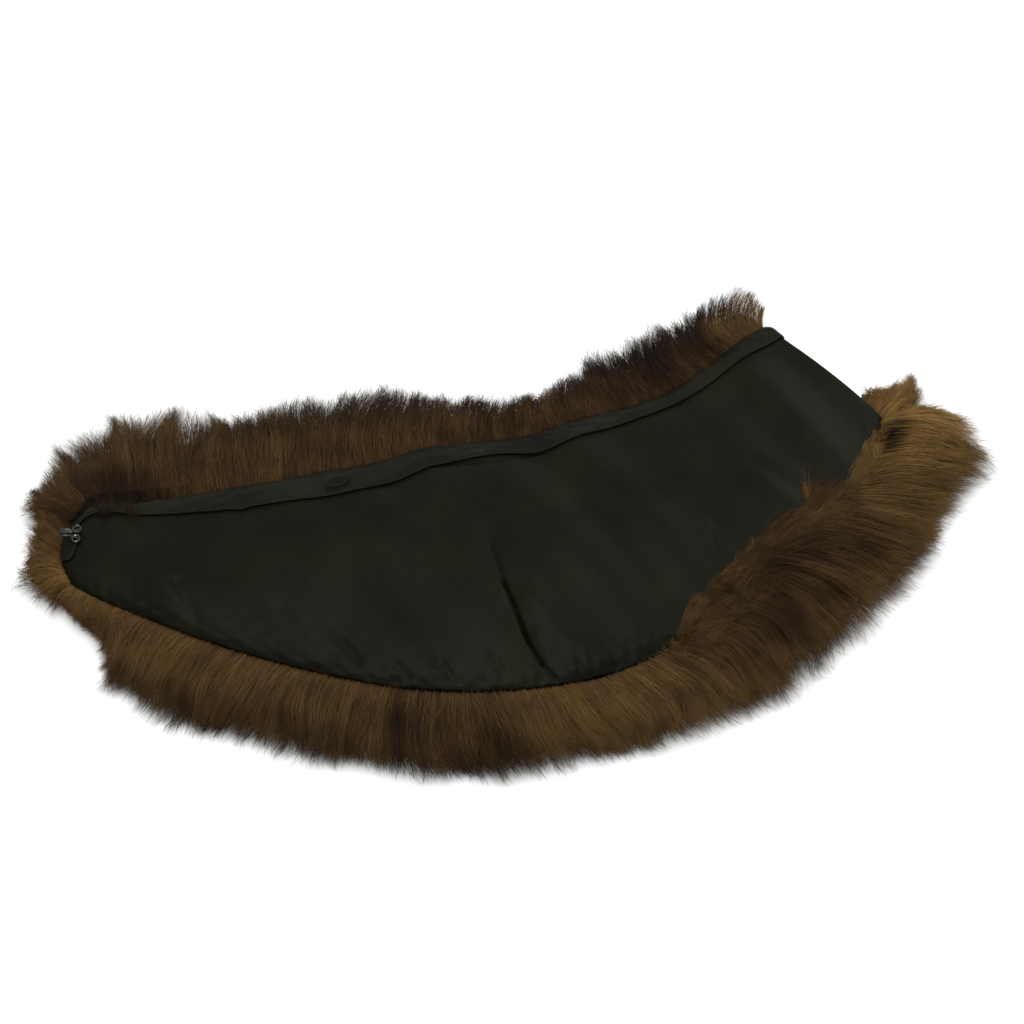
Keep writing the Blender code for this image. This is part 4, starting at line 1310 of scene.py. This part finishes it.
def make_hook(material):
    """Two sewing rings, and a double shank whose bill bends up and back."""
    half = HOOK_SHANK_HALF
    side = []
    for step in range(HOOK_RING_STEPS + 1):
        angle = math.radians(HOOK_RING_START - HOOK_RING_TURN * step / HOOK_RING_STEPS)
        lift = HOOK_RING_RISE * HOOK_WIRE * math.sin(math.pi * step / HOOK_RING_STEPS)
        side.append((HOOK_RING * math.cos(angle), HOOK_RING_SPREAD + HOOK_RING * math.sin(angle), lift))
    side += [(-HOOK_RING - HOOK_WIRE, half * HOOK_SHANK_SPREAD, 0.0), (-HOOK_SHANK, half, 0.0)]
    for step in range(1, HOOK_BEND_STEPS + 1):
        angle = math.pi * step / HOOK_BEND_STEPS
        lift = HOOK_BILL_RISE / 2 * (1.0 - math.cos(angle))
        side.append((-HOOK_SHANK - HOOK_BEND * math.sin(angle), half, lift))
    side += [
        (-HOOK_SHANK + HOOK_BILL * HOOK_BILL_MIDDLE, half, HOOK_BILL_RISE),
        (-HOOK_SHANK + HOOK_BILL, half * HOOK_BILL_CLOSED, HOOK_BILL_RISE + HOOK_BILL_LIFT),
    ]
    points = np.array(side + [(x, -y, z) for x, y, z in reversed(side)])
    middle = cad_middle("hook")
    reach = (HOOK_SHANK + HOOK_BEND - HOOK_RING) / 2
    points += middle + (reach, 0.0, HOOK_WIRE / 2)
    piece = tube("hook_wire", points, HOOK_WIRE * HOOK_WIRE_DRAWN, material, 4)
    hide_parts("hook")


def make_thread_eye(material):
    """A lens-shaped loop of thread, closely wrapped in buttonhole stitches, that lies on the band."""
    middle = cad_middle("thread_eye")
    angle = np.linspace(EYE_OPENING, 2 * np.pi - EYE_OPENING, EYE_STEPS)
    along = EYE_LENGTH / 2 * np.cos(angle)
    across = EYE_HEIGHT / 2 * np.sin(angle) * np.abs(np.sin(angle)) ** EYE_POINTEDNESS
    turn = np.array([[math.cos(EYE_TURN), -math.sin(EYE_TURN)], [math.sin(EYE_TURN), math.cos(EYE_TURN)]])
    loop = np.stack([along, across], -1) @ turn.T + middle[:2]
    row, t = surface_near(loop[::EYE_HEIGHT_EACH])
    height = panel(row, t)[:, 2].max() + GAP + BAND_WALL + GAP + BAND_LIFT + EYE_CORE
    core = at_height(loop, height)
    tangent = unit(np.gradient(core, axis=0))
    outward = unit(np.cross(tangent, UP))
    wrap = np.linspace(0.0, EYE_WRAPS * 2 * np.pi, EYE_STEPS)[:, None]
    around = outward * np.cos(wrap) + UP * np.sin(wrap)
    radius = (EYE_CORE + EYE_THREAD) / 2
    piece = tube("thread_eye_core", core[::EYE_CORE_EACH], EYE_CORE, material, 2)
    tube("thread_eye_wrap", core + around * radius, EYE_THREAD, material, 1)
    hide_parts("thread_eye")


def make_threads(name, lines, material):
    """Short lengths of thread as one mesh, each a tube of six sides closed at both ends."""
    sides = 6
    count, steps = lines.shape[:2]
    tangent = unit(np.gradient(lines, axis=1))
    across = unit(np.cross(tangent, UP))
    up = np.cross(across, tangent)
    angle = np.arange(sides) * 2 * np.pi / sides
    around = across[:, :, None] * np.cos(angle)[:, None] + up[:, :, None] * np.sin(angle)[:, None]
    radius = STITCH_THREAD / 2 * np.sqrt(np.sin(np.pi * np.linspace(*STITCH_TAPER, steps)))
    points = lines[:, :, None] + around * radius[:, None, None]
    cells = np.concatenate([
        grid_quads(steps, sides, closed=True, flip=True),
        [[0, 1, 2, 3], [0, 3, 4, 5]],
        np.array([[3, 2, 1, 0], [5, 4, 3, 0]]) + (steps - 1) * sides,
    ])
    quads = (cells[None] + (np.arange(count) * steps * sides)[:, None, None]).reshape(-1, 4)
    new_object(name, mesh_from_faces(name, points.reshape(-1, 3), quads), material)


def make_stitches(material):
    """Slip stitches that hold the band's seam to the lining, and the lining's outer edge to the skin."""
    rng = np.random.default_rng(FUR_SEED)
    grown = np.linspace(0.0, 1.0, STITCH_POINTS)
    for name, count, first, last, outer in STITCH_ROWS:
        row = np.linspace(first, last, count) + rng.normal(0.0, STITCH_CHANCE, count)
        width = panel_width(row)[:, None]
        lean = rng.normal(0.0, STITCH_LEAN, count)
        if outer:
            t = 1.0 - (SEAM_STITCH_FROM - SEAM_STITCH_LENGTH * grown) / width
            s = row[:, None] + lean[:, None] * grown / EDGE_LENGTHS[1]
            lift = STITCH_LIFT
        else:
            start = station("band", row) - BAND_STITCH_INSET + lean * BAND_STITCH_LEAN
            t = (start[:, None] + BAND_STITCH_SIZE[0] * grown) / width
            s = row[:, None] + BAND_STITCH_SIZE[1] / EDGE_LENGTHS[0] * grown
            lift = STITCH_LIFT + GAP + BAND_WALL * BAND_STITCH_LEVEL
        s = np.clip(s, 0.0, 1.0)
        lift = lift + STITCH_RISE * np.sin(np.pi * grown)
        lines = panel(s, t) + surface_normal(s, t) * lift[:, None]
        make_threads(name, lines, material)


# Stage

FLOOR_HALF = 4.0


def make_floor():
    mesh = bpy.data.meshes.new("floor")
    corners = [(x * FLOOR_HALF, y * FLOOR_HALF, 0) for x, y in ((-1, -1), (1, -1), (1, 1), (-1, 1))]
    mesh.from_pydata(corners, [], [(0, 1, 2, 3)])
    material, tree, shader = new_material("floor", Roughness=0.7, Specular_IOR_Level=0.2)
    set_inputs(tree, shader, {"Base Color": (0.95, 0.95, 0.94, 1.0)})
    mesh.materials.append(material)
    floor = linked("floor", mesh)


def aimed(name, data, place, way):
    """A light or camera at a place that looks along a way."""
    obj = linked(name, data)
    obj.location = place
    obj.rotation_mode = "QUATERNION"
    obj.rotation_quaternion = way.to_track_quat("-Z", "Y")
    return obj


def area_light(name, place, side, watts):
    """A square light that looks at the frame's origin."""
    data = bpy.data.lights.new(name, "AREA")
    data.size = side
    data.energy = watts
    aimed(name, data, place, -Vector(place))


def make_lights():
    world = bpy.data.worlds.new("studio")
    world.use_nodes = True
    tree = world.node_tree
    set_inputs(tree, tree.nodes["Background"], {"Color": (1.0, 1.0, 1.0, 1.0), "Strength": 0.75})
    bpy.context.scene.world = world
    area_light("overhead", (-0.2, -0.2, 1.7), 1.4, 22.0)
    area_light("window", (1.0, 1.1, 1.0), 0.8, 7.0)


def make_camera():
    data = bpy.data.cameras.new("camera")
    data.lens = CAMERA_LENS
    aim = Vector(to_frame(CAMERA_AIM))
    back = Vector((0.0, -math.cos(CAMERA_ELEVATION), math.sin(CAMERA_ELEVATION)))
    camera = aimed("camera", data, aim + back * CAMERA_DISTANCE, -back)
    bpy.context.scene.camera = camera


def main():
    bpy.context.scene.view_settings.view_transform = "Standard"
    make_camera()
    make_lights()
    make_floor()
    satin = satin_material("lining_satin", (0.0010, 0.0010, 0.0001), (0.0058, 0.0058, 0.0012), 0.50)
    ribbon = satin_material("band_satin", (0.0014, 0.0016, 0.0003), (0.0076, 0.0080, 0.0030), 0.50)
    hair = fur_material((
        (0.00, (0.004, 0.003, 0.002)),
        (0.20, (0.024, 0.0130, 0.0055)),
        (0.45, (0.100, 0.0560, 0.0185)),
        (0.70, (0.250, 0.1450, 0.0430)),
        (1.00, (0.500, 0.3500, 0.1500)),
    ))
    upper = make_lining_upper(satin)
    lower = make_lining_lower(satin)
    band = make_neck_band(ribbon)
    path = RimPath()
    body = make_fur_body(path, hair)
    make_fur(path, hair)
    thread = thread_material((0.0070, 0.0072, 0.0052))
    make_hook(metal_material())
    make_thread_eye(thread)
    make_stitches(thread)


main()
